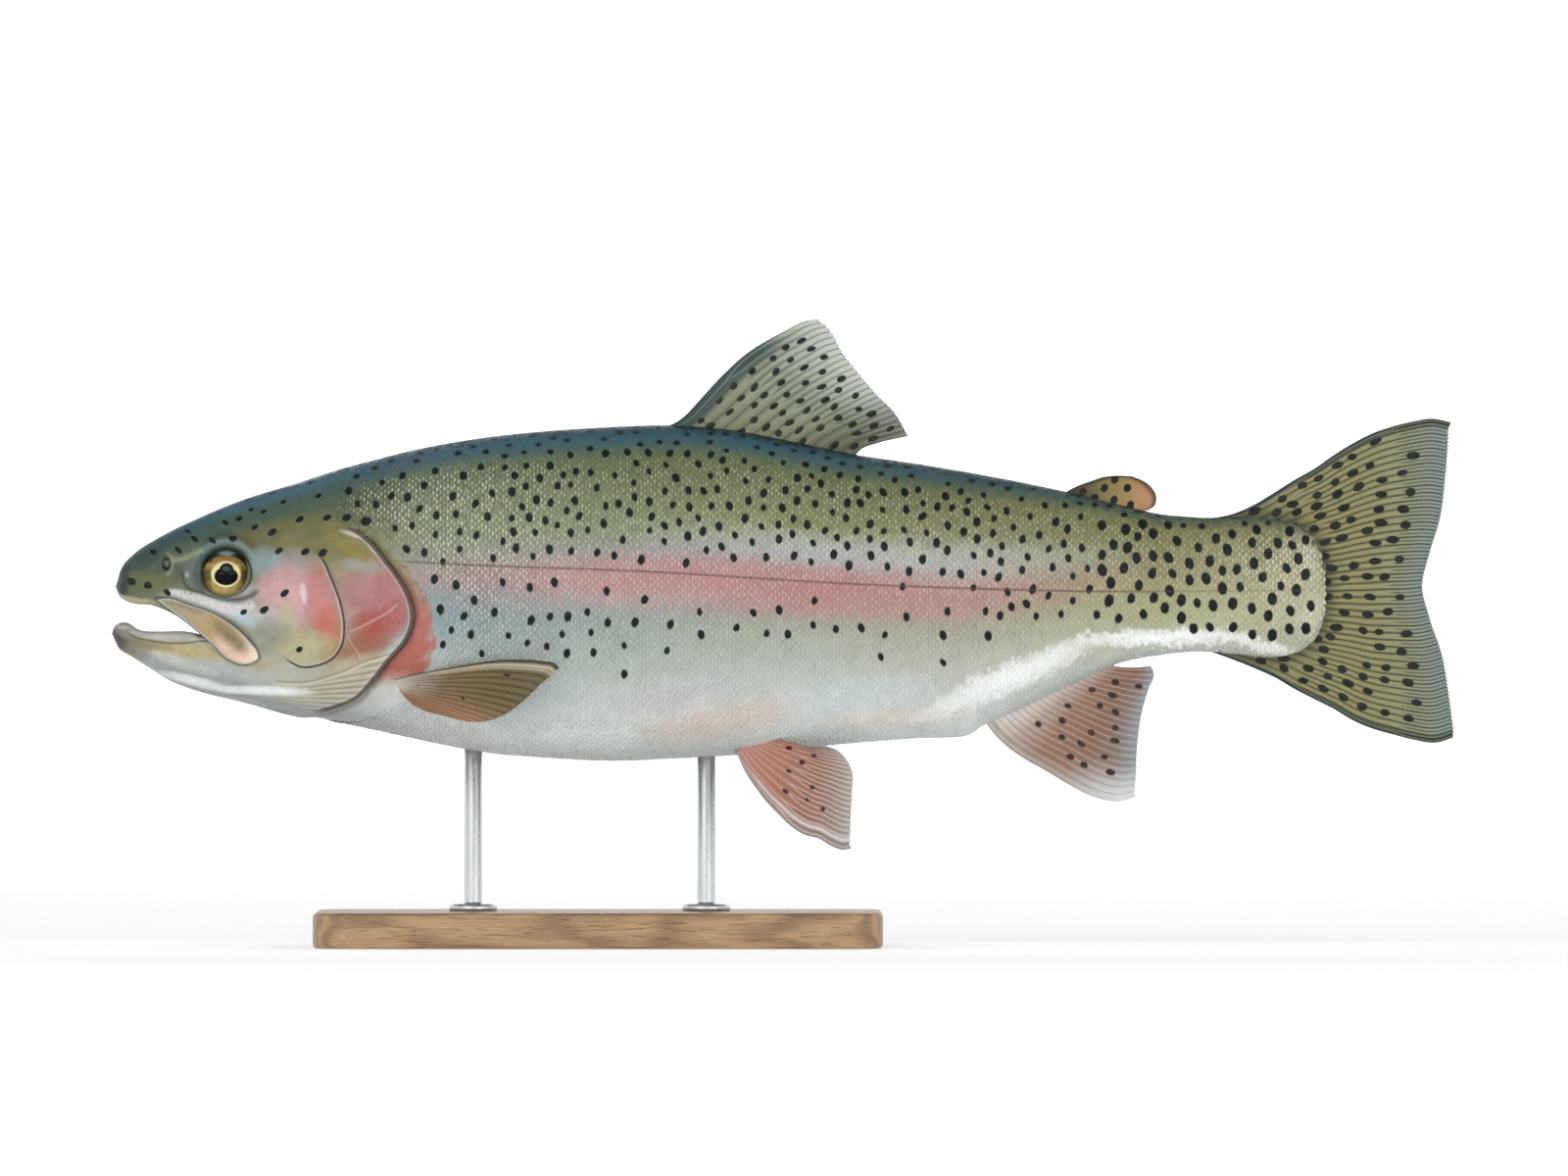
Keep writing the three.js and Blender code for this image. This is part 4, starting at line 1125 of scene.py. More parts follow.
def fin_spots(sheet, rays, spread, size, first=0.12, last=0.97, seed=1, keep=1.0, edges=(0.5, 0.5)):
    """Spots in rows along the rays: spread is how far apart they lie along a row, in millimetres."""
    rng = np.random.default_rng(seed)
    spots = Spots(sheet.corners.min(axis=0) - 30, sheet.corners.max(axis=0) + 30)
    for ray in np.arange(edges[0], rays - edges[1] + 0.01):
        across = np.array(ray / rays)
        reach = np.hypot(*(sheet.point(across, np.array(last)) - sheet.point(across, np.array(first))))
        count = max(int(reach / spread), 1)
        for k in range(count):
            if rng.random() > keep:
                continue
            stagger = 0.45 * ((ray // 1) % 2 - 0.5)
            out = np.array(first + (last - first) * (k + 0.5 + stagger + rng.normal(0, 0.13)) / count)
            a = np.array(np.clip(across + rng.normal(0, 0.1) / rays, 0.01, 0.99))
            wide, high = size[0] * rng.uniform(0.8, 1.15), size[1] * rng.uniform(0.8, 1.2)
            spots.add(*sheet.point(a, out), wide, high, float(sheet.ray_tilt(a, out)) + rng.normal(0, 0.15))
    return spots


def fin(name, sheet, rays, rows, paint, spots, *, root=2.4, web=0.42, ray=0.62, forks=(0.42, 0.72),
        stand_off=None, wave=0.5, side=1, notch=0.012, replaced=None):
    """A fin of branching rays with a thin web between them, closed all round."""
    across = np.linspace(0, 1, rays * COLUMNS_PER_RAY + 1)
    across = np.unique(np.concatenate([across, [0.0012, 0.004, 0.996, 0.9988]]))
    out = np.unique(np.concatenate([np.linspace(0, 1, rows), [0.988, 0.996]]))
    a, o = np.meshgrid(across, out)
    ridge = ray_ridge(a, o, rays, forks) * smoothly(a, 0.01, 0.05) * (1 - smoothly(a, 0.97, 1))
    edge_ray = np.exp(-((a / 0.02) ** 2))
    tip = o * (1 - notch * (1 - np.maximum(ridge, edge_ray)) * o**10)
    flat = sheet.point(a, tip)
    half = web / 2 + (root - web) / 2 * (1 - o) ** 2.2
    half = half + ray / 2 * ridge * (1 - 0.55 * o) * (0.35 + 0.65 * smoothly(o, 0, 0.25))
    half = half + 0.22 * edge_ray * (1 - 0.6 * o)
    half *= np.sqrt(np.clip(np.minimum(a, 1 - a) / 0.004, 0, 1)) * np.sqrt(np.clip((1 - o) / 0.012, 0, 1))
    half[0] = 0
    middle = wave * o**1.5 * np.sin(7 * a + 4 * o + 1.0) * (0.4 + 0.6 * a)
    if stand_off:
        middle = middle + stand_off(a, o)
    at, up = flat[..., 0], flat[..., 1]
    first, second = fork_shares(o, forks)
    marks = {
        "paint": paint(a, o, at, up), "spots": spots.read(at, up), "ray": a * rays, "out": o,
        "first_fork": first, "second_fork": second,
    }
    faces = [np.stack([at, side * (middle + face * half), up], -1) for face in (-1, 1)]
    node = replaced or name.replace("_rays", "_fin")
    return make_piece(name, [(place, marks) for place in faces], (node,), merge=0.004)


def dorsal_paint(a, o, at, up):
    paint = banded([(0, "737558"), (0.25, "7c8067"), (0.6, "828b7a"), (0.86, "a9afa4"),
                    (1, "bcc0b8")], o)
    paint = toned(paint, "2f4448", 0.95 * (1 - smoothly(a, 0.045, 0.14)) * (1 - smoothly(o, 0.6, 0.9)))
    return toned(paint, "4f5043", 0.8 * smoothly(a, 0.5, 0.95))


def adipose_paint(a, o, at, up):
    paint = banded([(320, "29332e"), (326, "4d4e37"), (333, "7d7249"), (338, "947e51"), (344, "b08763"),
                    (349, "b98a70")], at)
    return toned(paint, "3d352b", 0.85 * np.maximum(smoothly(o, 0.84, 0.97), 1 - smoothly(a, 0.03, 0.12)))


FLESH_END = Line([(370, 23.6), (389.3, 23.3), (395.8, 21.7), (400.8, 18.7), (404, 14.5), (406, 7.5),
                  (406.7, 0), (406, -7.5), (404, -14.8), (400.8, -19), (395.8, -21.7), (389.3, -23),
                  (370, -21.6)])


def tail_paint(a, o, at, up):
    paint = banded([(0, "777453"), (0.2, "7d7955"), (0.62, "807d56"), (0.84, "7c8067"),
                    (0.93, "7a8883"), (1, "748587")], o)
    # Painted shadow: a soft dark band along the end of the scaled flesh, where it overhangs the fin's root.
    paint = toned(paint, "3a3b29", 0.75 * np.exp(-((FLESH_END.away(at, up) / 3.2) ** 2)))
    edge = np.minimum(a, 1 - a)
    return toned(paint, "24363a", 1 - smoothly(edge, 0.012, 0.032))


def anal_paint(a, o, at, up):
    paint = banded([(0, "d6d4d0"), (0.11, "c3bab3"), (0.2, "a8968b"), (0.36, "8f6f5e"),
                    (0.65, "80604f"), (0.84, "7f716b"), (0.94, "82878a"), (1, "8a9093")], o)
    paint = toned(paint, "979089", 0.7 * (1 - smoothly(a, 0.03, 0.1)))
    return toned(paint, "cdd2d3", 0.85 * (1 - smoothly(a, 0.02, 0.28)) * smoothly(o, 0.45, 0.95))


def pelvic_paint(a, o, at, up):
    paint = banded([(0, "b28173"), (0.4, "a3705f"), (0.7, "98705f"), (0.88, "9b8a82"),
                    (1, "a8a4a0")], o)
    paint = toned(paint, "8f8680", 0.8 * (1 - smoothly(a, 0.05, 0.09)))
    return toned(paint, "e4e5e4", 0.8 * bump_at(a, 0.085, 0.014) * smoothly(o, 0.05, 0.3))


def pectoral_paint(a, o, at, up):
    paint = banded([(0, "d2ccc6"), (0.14, "a69a8d"), (0.36, "756148"), (0.7, "625234"),
                    (1, "5c5138")], o)
    paint = toned(paint, "a57a5c", 0.75 * smoothly(a, 0.3, 0.75) * (1 - 0.7 * smoothly(at, 120, 140)))
    paint = toned(paint, "c3bda9", 0.85 * bump_at(a, 0.055, 0.022) * smoothly(o, 0.1, 0.3))
    return toned(paint, "37352a", 0.9 * (1 - smoothly(a, 0.012, 0.034)))


PELVIC_ROOT_OUT, PELVIC_SPLAY = 8.5, 0.42
PECTORAL_ROOT_OUT, PECTORAL_SPLAY = 20.5, 0.2


def pelvic_stand(a, o):
    return PELVIC_ROOT_OUT + PELVIC_SPLAY * o * 32


def pectoral_stand(a, o):
    at, up = np.moveaxis(PECTORAL.point(a, o), -1, 0)
    reach = np.clip(np.hypot(at - 96.2, up + 33.4) / 52, 0, 1)
    return PECTORAL_ROOT_OUT + PECTORAL_SPLAY * reach * 52 + 7 * np.sin(math.pi * reach / 2)


adipose_spots = Spots((300, 10), (370, 60))
for at, up in ((332.2, 33.6), (339.9, 33.6), (325, 32.2), (328.9, 30.3), (335.4, 29.6), (335.7, 36.4),
               (341, 27.9)):
    adipose_spots.add(at, up, 1.25, 1.5, 0.4)

fins = {
    "dorsal": [
        fin("dorsal_rays", DORSAL, 12, 56, dorsal_paint,
            fin_spots(DORSAL, 12, 6.6, (1.05, 1.6), first=0.07, last=0.9, seed=3, keep=0.95,
                      edges=(1.2, 0.6)),
            forks=(0.4, 2)),
    ],
    "adipose": [
        fin("adipose_flap", ADIPOSE, 14, 26, adipose_paint, adipose_spots,
            root=3.4, web=1.3, ray=0.1, wave=0.1, notch=0, replaced="adipose_fin"),
    ],
    "tail": [
        fin("tail_rays", TAIL, 22, 64, tail_paint,
            fin_spots(TAIL, 18, 7.0, (1.3, 1.95), first=0.16, last=0.87, seed=8, keep=0.92,
                      edges=(0.8, 0.8)),
            root=3, ray=0.55, forks=(0.3, 0.74)),
    ],
    "rosy": [
        fin("anal_rays", ANAL, 21, 52, anal_paint,
            fin_spots(ANAL, 9, 8.0, (1.0, 1.4), first=0.2, last=0.9, seed=4, keep=0.8, edges=(1.4, 0.4)),
            forks=(2, 2)),
    ],
    "brown": [],
}
for side, word in SIDES:
    fins["rosy"].append(
        fin(f"pelvic_rays_{word}", PELVIC, 11, 46, pelvic_paint,
            fin_spots(PELVIC, 6, 8.0, (0.75, 1.1), first=0.3, last=0.85, seed=6, keep=0.95,
                      edges=(1.6, 0.8)),
            root=2.8, forks=(0.5, 2), stand_off=pelvic_stand, side=side, replaced=f"pelvic_fin_{word}"))
    fins["brown"].append(
        fin(f"pectoral_rays_{word}", PECTORAL, 17, 50, pectoral_paint,
            fin_spots(PECTORAL, 6, 11, (0.55, 1.1), first=0.5, seed=9, keep=0.35, edges=(0.8, 3)),
            root=3, forks=(2, 2), stand_off=pectoral_stand, side=side, replaced=f"pectoral_fin_{word}"))

# ---------------------------------------------------------------- eyes, upper jaw bones and tongue

EYE_OUT, EYE_DEPTH = 11.7, 6.2


def eye(side, word):
    bm = bmesh.new()
    bmesh.ops.create_uvsphere(bm, u_segments=72, v_segments=48, radius=1)
    bmesh.ops.rotate(bm, verts=bm.verts, matrix=Matrix.Rotation(math.pi / 2, 3, "X"))
    for vertex in bm.verts:
        x, y, z = vertex.co
        reach = math.hypot(x, z)
        dome = 0.75 * (1 - min(reach / 0.78, 1) ** 2) ** 2 if y * side > 0 else 0
        vertex.co = (
            (EYE_AT - TOTAL_LENGTH / 2 + x * (EYE_RADIUS + 0.1)) * MM,
            (side * EYE_OUT + y * EYE_DEPTH + side * dome) * MM,
            (AXIS_HEIGHT + EYE_UP + z * (EYE_RADIUS + 0.1)) * MM,
        )
    bmesh.ops.recalc_face_normals(bm, faces=bm.faces)
    return join_model(to_mesh(bm, f"eyeball_{word}"), (f"eye_{word}",))


JAW_BONE_UPPER = arc_line([(14.6, -3.6), (19.2, -3), (26.3, -5.1), (34.1, -7.8), (40.4, -11.5),
                           (46.6, -17.1), (49.8, -21.8), (49.9, -23.5)])
JAW_BONE_LOWER = arc_line([(14.6, -3.6), (18.5, -6.5), (22.2, -9.2), (25.9, -11.9), (29.3, -14.7),
                           (31.9, -17.1), (34.8, -19.6), (37.1, -22.2), (40.1, -24.4), (43.7, -25.7),
                           (47.2, -25.4), (49.9, -23.5)])


JAW_BONE_COLOURS = [(14, "7d7a5f"), (22, "8f8768"), (30, "a08a5e"), (36, "a58352"), (42, "b89b74"),
                    (48, "e6d4c0")]


def jaw_bone(side, word):
    """The long blade of the upper jaw, that hangs over the corner of the mouth."""
    along, across = np.meshgrid(np.linspace(0, 1, 90), np.linspace(0, 1, 31), indexing="ij")
    upper, lower = JAW_BONE_UPPER(along), JAW_BONE_LOWER(along)
    flat = upper * (1 - across)[..., None] + lower * across[..., None]
    inside = 1 - np.abs(2 * across - 1)
    crown = np.sqrt(np.clip(1 - (1 - inside) ** 4, 0, 1)) * np.sqrt(np.clip(np.sin(math.pi * along), 0, 1))
    margin = np.minimum(inside * np.linalg.norm(upper - lower, axis=-1) / 2, 3)
    dip = smoothly(margin, 0.9, 2.4) * smoothly(along, 0.3, 0.6)
    seat = BODY.side_out(flat[..., 0], flat[..., 1]) - 0.25
    outer = seat + 1.75 * crown - 0.45 * dip
    inner = seat - 0.35 * crown
    at, up = flat[..., 0], flat[..., 1]
    paint = banded(JAW_BONE_COLOURS, at)
    pale = smoothly(along, 0.5, 0.66) * (1 - smoothly(along, 0.92, 0.99))
    paint = toned(paint, "dfc2ae", 0.8 * bump_at(across, 0.74, 0.22) * pale)
    olive = smoothly(along, 0.46, 0.58) * (1 - smoothly(along, 0.76, 0.9))
    paint = toned(paint, "66551f", 0.95 * bump_at(across, 0.36, 0.24) * olive)
    paint = toned(paint, "66684f", 0.7 * bump_at(across, 0.2, 0.18) * (1 - smoothly(along, 0.3, 0.5)))
    marks = {"paint": paint, "spots": np.full(at.shape, Spots.FAR), "margin": margin}
    sheets = [(np.stack([at, side * face, up], -1), marks) for face in (outer, inner)]
    return make_piece(f"jaw_bone_{word}", sheets, (f"maxilla_{word}",), merge=0.004)


eyes = [eye(side, word) for side, word in SIDES]
jaw_bones = [jaw_bone(side, word) for side, word in SIDES]

TONGUE = Form(
    through([(13, -17.4), (20, -16.2), (34, -17.4), (48, -20.6)]),
    through([(13, -18.6), (20, -21), (34, -24.2), (48, -24.6)]),
    through([(13, -18), (20, -18.6), (34, -20.6), (48, -22.4)]),
    through([(13, 1.2), (16, 4), (24, 6), (36, 7), (48, 6.4)]),
    13, 48, nose=5, heel=2,
)


def tongue_flesh():
    at = 13 + 35 * np.linspace(0, 1, 50)[:, None] ** 1.3
    steps = np.linspace(0, 2, 41)
    place = TONGUE.point(*np.broadcast_arrays(at, steps))
    out = place[..., 1]
    place[..., 2] += 0.25 * bump_at(out, 3.2, 1.5) - 0.35 * bump_at(out, 0, 1.2)
    out *= steps % 2 != 0
    place = both_sides(place)
    paint = banded([(13, "c9b4a4"), (30, "b59684"), (48, "8a6558")], place[..., 0])
    return make_piece("tongue_flesh", [(place, {"paint": paint})], ("tongue",))


tongue = tongue_flesh()

# ---------------------------------------------------------------- display stand

BASE = {"length": 190, "width": 78, "thickness": 12, "corner": 12, "edge": 1.6, "middle": -62}
ROD = {"radius": 3, "flange_radius": 8, "flange_height": 2.4, "in_belly": 9, "places": (-104, -26)}


def fall(edge):
    """How much higher one end of an edge is than the other, in metres."""
    return abs(edge.verts[0].co.z - edge.verts[1].co.z)


def base_board():
    bm = bmesh.new()
    bmesh.ops.create_cube(bm, size=1)
    bmesh.ops.scale(bm, vec=(BASE["length"] * MM, BASE["width"] * MM, BASE["thickness"] * MM),
                    verts=bm.verts)
    bmesh.ops.translate(bm, vec=(BASE["middle"] * MM, 0, BASE["thickness"] / 2 * MM), verts=bm.verts)
    upright = [edge for edge in bm.edges if fall(edge) > 0.001]
    bmesh.ops.bevel(bm, geom=upright, offset=BASE["corner"] * MM, affect="EDGES", segments=12, profile=0.5,
                    material=-1)
    rims = [edge for edge in bm.edges
            if fall(edge) < 1e-6 and len({abs(face.normal.z) > 0.9 for face in edge.link_faces}) == 2]
    bmesh.ops.bevel(bm, geom=rims, offset=BASE["edge"] * MM, affect="EDGES", segments=4, profile=0.5,
                    material=-1)
    bmesh.ops.recalc_face_normals(bm, faces=bm.faces)
    return join_model(to_mesh(bm, "base_board", steep), ("stand_base",))


def rod(name, x, node):
    top = AXIS_HEIGHT + float(BODY.bottom(x + TOTAL_LENGTH / 2)) + ROD["in_belly"] - BASE["thickness"]
    flange, height, radius = ROD["flange_radius"], ROD["flange_height"], ROD["radius"]
    outline = [
        (0, 0), (flange - 0.2, 0), (flange, 0.2), (flange, height - 0.9), (flange - 0.3, height - 0.3),
        (flange - 0.9, height), (radius + 0.8, height), (radius + 0.2, height + 0.2),
        (radius, height + 0.8), (radius, top - 0.5), (radius - 0.5, top), (0, top),
    ]
    bm = revolved([(out * MM, up * MM) for out, up in outline], 56, 1e-6)
    bmesh.ops.translate(bm, vec=(x * MM, 0, BASE["thickness"] * MM), verts=bm.verts)
    return join_model(to_mesh(bm, name, steep), (node,))


board = base_board()
rods = [rod(f"rod_{word}", x, f"stand_rod_{word}") for word, x in zip(("front", "rear"), ROD["places"])]

# ---------------------------------------------------------------- materials


class Nodes:
    """Adds shader nodes to a material or a group and joins them."""

    def __init__(self, tree):
        self.tree = tree

    def add(self, kind, inputs=None, **settings):
        node = self.tree.nodes.new("ShaderNode" + kind)
        for name, value in settings.items():
            setattr(node, name, value)
        for name, value in (inputs or {}).items():
            self.feed(node.inputs[name], value)
        return node

    def feed(self, socket, value):
        if isinstance(value, bpy.types.NodeSocket):
            self.tree.links.new(value, socket)
        else:
            socket.default_value = value

    def math(self, operation, *values):
        return self.add("Math", dict(enumerate(values)), operation=operation).outputs[0]

    def times(self, a, b):
        return self.math("MULTIPLY", a, b)

    def plus(self, a, b):
        return self.math("ADD", a, b)

    def minus(self, a, b):
        return self.math("SUBTRACT", a, b)

    def over(self, a, b):
        return self.math("DIVIDE", a, b)

    def mix(self, share, a, b):
        """Colour a with a share of colour b over it; b may be a hexadecimal colour, and so may a."""
        a, b = (rgba(part) if isinstance(part, str) else part for part in (a, b))
        return self.add("Mix", {0: share, 6: a, 7: b}, data_type="RGBA").outputs[2]

    def spread(self, value, low, high):
        """From low to high over the middle stretch of a noise."""
        return self.between(value, 0.3, 0.7, low, high)

    def between(self, value, low, high, to_low=0.0, to_high=1.0):
        """Smoothly from to_low at low to to_high at high."""
        inputs = {0: value, 1: low, 2: high, 3: to_low, 4: to_high}
        return self.add("MapRange", inputs, interpolation_type="SMOOTHSTEP").outputs[0]

    def mark(self, name, output="Fac"):
        return self.add("Attribute", attribute_name=name).outputs[output]

    def stretched(self, vector, scale):
        return self.add("VectorMath", {0: vector, 1: scale}, operation="MULTIPLY").outputs[0]

    def place(self):
        """Object coordinates in millimetres."""
        return self.stretched(self.add("TexCoord").outputs["Object"], (1000, 1000, 1000))

    def noise(self, vector, scale, detail=2.0, roughness=0.5, output=0):
        inputs = {"Vector": vector, "Scale": scale, "Detail": detail, "Roughness": roughness}
        return self.add("TexNoise", inputs).outputs[output]

    def cells(self, vector, scale):
        return self.add("TexVoronoi", {"Vector": vector, "Scale": scale}).outputs[0]

    def group(self, name, **inputs):
        node = self.tree.nodes.new("ShaderNodeGroup")
        node.node_tree = bpy.data.node_groups[name]
        for key, value in inputs.items():
            self.feed(node.inputs[key.replace("_", " ")], value)
        return node.outputs


def new_group(name, inputs, outputs):
    """A node group with those sockets: what adds its nodes, its inputs and its outputs."""
    tree = bpy.data.node_groups.new(name, "ShaderNodeTree")
    for title, kind, value in inputs:
        socket = tree.interface.new_socket(name=title, in_out="INPUT", socket_type=f"NodeSocket{kind}")
        socket.default_value = value
    for title, kind in outputs:
        tree.interface.new_socket(name=title, in_out="OUTPUT", socket_type=f"NodeSocket{kind}")
    nodes = Nodes(tree)
    return nodes, tree.nodes.new("NodeGroupInput").outputs, tree.nodes.new("NodeGroupOutput").inputs


def new_material(name, pieces, **shader):
    """A material on those pieces, with settings of its Principled shader."""
    material = bpy.data.materials.new(name)
    material.use_nodes = True
    nodes = Nodes(material.node_tree)
    principled = material.node_tree.nodes["Principled BSDF"]
    for key, value in shader.items():
        principled.inputs[key.replace("_", " ")].default_value = value
    for piece in pieces:
        piece.data.materials.clear()
        piece.data.materials.append(material)
    return nodes, principled


def rgba(text):
    return (*colour(text), 1.0)


def raise_surface(nodes, principled, height, distance, strength=1.0):
    """Bumps the surface by a height from 0 to 1, times a distance in millimetres."""
    inputs = {"Height": height, "Distance": distance * MM, "Strength": strength}
    nodes.feed(principled.inputs["Normal"], nodes.add("Bump", inputs).outputs[0])


# Painted colour of the skin with its mottling and dark spots.
nodes, given, put = new_group(
    "spotted_skin",
    [("Spot Colour", "Color", rgba("0f1718")), ("Spot Growth", "Float", 0.0),
     ("Spot Softness", "Float", 0.22), ("Ragged", "Float", 0.5), ("Mottle", "Float", 0.2),
     ("Mottle Scale", "Float", 0.35)],
    [("Color", "Color"), ("Spot", "Float")],
)
place = nodes.place()
paint = nodes.mark("paint", "Color")
broad = nodes.noise(place, given["Mottle Scale"], 4.0, 0.6)
fine = nodes.noise(place, 2.6, 3.0, 0.6)
mottle = nodes.plus(nodes.times(broad, 0.65), nodes.times(fine, 0.35))
centred = nodes.times(nodes.minus(mottle, 0.5), nodes.times(given["Mottle"], 4.0))
lit = nodes.add("VectorMath", {0: paint, 3: nodes.plus(centred, 1.0)}, operation="SCALE").outputs[0]
ragged = nodes.times(nodes.minus(nodes.noise(place, 1.5, 2.0), 0.5), given["Ragged"])
reach = nodes.plus(nodes.minus(nodes.mark("spots"), given["Spot Growth"]), ragged)
soft = given["Spot Softness"]
spot = nodes.between(reach, nodes.times(soft, -1.0), soft, 1.0, 0.0)
nodes.feed(put["Color"], nodes.mix(spot, lit, given["Spot Colour"]))
nodes.feed(put["Spot"], spot)

# Fine pores and creases of bare skin.
nodes, given, put = new_group(
    "bare_skin_grain", [("Scale", "Float", 1.0)], [("Height", "Float"), ("Gloss", "Float")]
)
place = nodes.place()
pores = nodes.between(nodes.cells(place, nodes.times(given["Scale"], 1.7)), 0.05, 0.5)
creases = nodes.noise(nodes.stretched(place, (0.7, 1, 1)), nodes.times(given["Scale"], 0.9), 5.0, 0.65)
nodes.feed(put["Height"], nodes.plus(nodes.times(pores, 0.35), nodes.times(creases, 0.65)))
nodes.feed(put["Gloss"], nodes.noise(place, nodes.times(given["Scale"], 0.25), 3.0))

# Rays of a fin: pale stems that fork, with dark hairlines between them and streaks along them.
nodes, given, put = new_group(
    "fin_rays",
    [("Color", "Color", rgba("808080")), ("Ray Colour", "Color", rgba("a0a080")),
     ("Web Colour", "Color", rgba("404030")), ("Ray Share", "Float", 0.5), ("Web Share", "Float", 0.4),
     ("Line Width", "Float", 1.0)],
    [("Color", "Color"), ("Height", "Float")],
)
out, first, second = nodes.mark("out"), nodes.mark("first_fork"), nodes.mark("second_fork")
off_ray = nodes.math("ABSOLUTE", nodes.minus(nodes.math("FRACT", nodes.mark("ray")), 0.5))
off_branch = nodes.math("ABSOLUTE", nodes.minus(off_ray, first))
off_twig = nodes.math("ABSOLUTE", nodes.minus(off_branch, second))
width = nodes.times(nodes.between(out, 0.0, 1.0, 0.12, 0.08), given["Line Width"])
between_rays = nodes.between(nodes.minus(0.5, off_ray), 0.0, width, 1.0, 0.0)
between_branches = nodes.times(nodes.between(off_ray, 0.0, width, 1.0, 0.0),
                               nodes.between(first, 0.1, 0.25))
twigged = nodes.between(second, 0.08, 0.125, 0.0, 0.7)
between_twigs = nodes.times(nodes.between(off_branch, 0.0, width, 1.0, 0.0), twigged)
web = nodes.math("MAXIMUM", nodes.math("MAXIMUM", between_rays, between_branches), between_twigs)
streaks = nodes.noise(nodes.place(), 1.4, 4.0, 0.7)
broken = nodes.times(web, nodes.between(streaks, 0.2, 0.55, 0.45, 1.0))
stem = nodes.times(nodes.between(off_twig, 0.01, 0.09, 1.0, 0.0), nodes.spread(streaks, 0.6, 1.0))
lit = nodes.mix(nodes.times(stem, given["Ray Share"]), given["Color"], given["Ray Colour"])
nodes.feed(put["Color"], nodes.mix(nodes.times(broken, given["Web Share"]), lit, given["Web Colour"]))
nodes.feed(put["Height"], nodes.minus(nodes.times(streaks, 0.3), nodes.times(web, 0.7)))


def thin_line(nodes, distance, width, soft):
    """1 within a width of a drawn line, fading to 0 over the softness beyond it."""
    return nodes.between(nodes.math("ABSOLUTE", distance), width, width + soft, 1.0, 0.0)


# Lines drawn on the head: name, shift, half width, softness in millimetres, strength, colour. Some are
# painted light: the pale line just in front of the cheek's groove is a painted highlight, and the soft dark
# bands beside the seams and behind the gill cover's edge are painted shadow.
DRAWN_STROKES = [
    # Painted highlight on the ridge in front of the cheek's groove.
    ("cheek", 0.8, 0.05, 0.45, 0.3, "ded0c6"),
    ("cheek", 0.1, 0.18, 0.34, 0.92, "352c2b"),
    ("cover", 1.2, 0.05, 0.5, 0.25, "d2c4bb"),
    # Painted shadow on the body just behind the gill cover's free edge.
    ("cover", 0.15, 0.4, 0.5, 0.85, "3a332f"),
    ("cover", -1.0, 0.5, 1.2, 0.35, "5d4a40"),
    ("opercle_seam", 0.0, 0.05, 0.8, 0.38, "d5aca3"),
    # Painted shadow beside the seam.
    ("opercle_seam", -0.7, 0.1, 0.5, 0.35, "7d4540"),
    ("cheek_seam", 0.0, 0.05, 0.5, 0.35, "cfae98"),
    # Painted shadow beside the seam.
    ("cheek_seam", 0.7, 0.1, 0.5, 0.3, "7d5240"),
    ("lower_seam", 0.0, 0.12, 0.5, 0.55, "ccc4ad"),
    # Painted shadow beside the seam.
    ("lower_seam", 0.8, 0.1, 0.5, 0.35, "6b5f4b"),
    ("gum", 0.0, 0.12, 0.4, 0.7, "504a42"),
]


def finish_skin():
    nodes, shader = new_material("skin_finish", [skin], Coat_Roughness=0.12, Specular_IOR_Level=0.16)
    marks = nodes.group("spotted_skin", Spot_Growth=0.05, Ragged=0.5, Mottle=0.19, Mottle_Scale=0.3,
                        Spot_Softness=nodes.between(nodes.mark("level"), 0.93, 0.97, 0.2, 0.7))
    grain = nodes.group("bare_skin_grain", Scale=1.0)
    place = nodes.place()
    drawn = marks["Color"]

    def stroke(drawn, mask, share, text):
        return nodes.mix(nodes.times(mask, share), drawn, text)

    speckle = nodes.between(nodes.noise(place, 2.2, 2.0, 0.6), 0.5, 0.62)
    patchy = nodes.times(nodes.mark("silver"), nodes.between(nodes.noise(place, 0.9, 3.0, 0.7), 0.36, 0.46))
    patchy = nodes.times(patchy, nodes.minus(1.0, marks["Spot"]))
    drawn = stroke(drawn, patchy, 0.8, "c9c8c6")
    drawn = stroke(drawn, nodes.times(patchy, speckle), 0.45, "8f8c8a")
    folds = nodes.math("SINE", nodes.times(nodes.mark("fan"), math.tau))
    fan_on = nodes.mark("fan_on")
    drawn = stroke(drawn, nodes.times(nodes.between(folds, -0.1, 0.9), fan_on), 0.5, "bfbaa4")
    drawn = stroke(drawn, nodes.times(nodes.between(folds, -1.0, -0.4, 1.0, 0.0), fan_on), 0.5, "746f5c")
    for name, shift, width, soft, share, text in DRAWN_STROKES:
        line = thin_line(nodes, nodes.plus(nodes.mark(name), shift), width, soft)
        drawn = stroke(drawn, nodes.times(line, nodes.mark(name + "_on")), share, text)
    nodes.feed(shader.inputs["Base Color"], drawn)
    nodes.feed(shader.inputs["Roughness"], nodes.spread(grain["Gloss"], 0.3, 0.5))
    unspotted = nodes.minus(1.0, marks["Spot"])
    matt = nodes.times(unspotted, nodes.between(nodes.mark("level"), 0.84, 0.95, 1.0, 0.0))
    nodes.feed(shader.inputs["Coat Weight"], nodes.times(nodes.spread(grain["Gloss"], 0.3, 0.12), matt))
    relief = nodes.plus(nodes.times(marks["Spot"], 0.15), nodes.times(nodes.times(folds, fan_on), 1.6))
    raise_surface(nodes, shader, nodes.plus(grain["Height"], relief), 0.1)


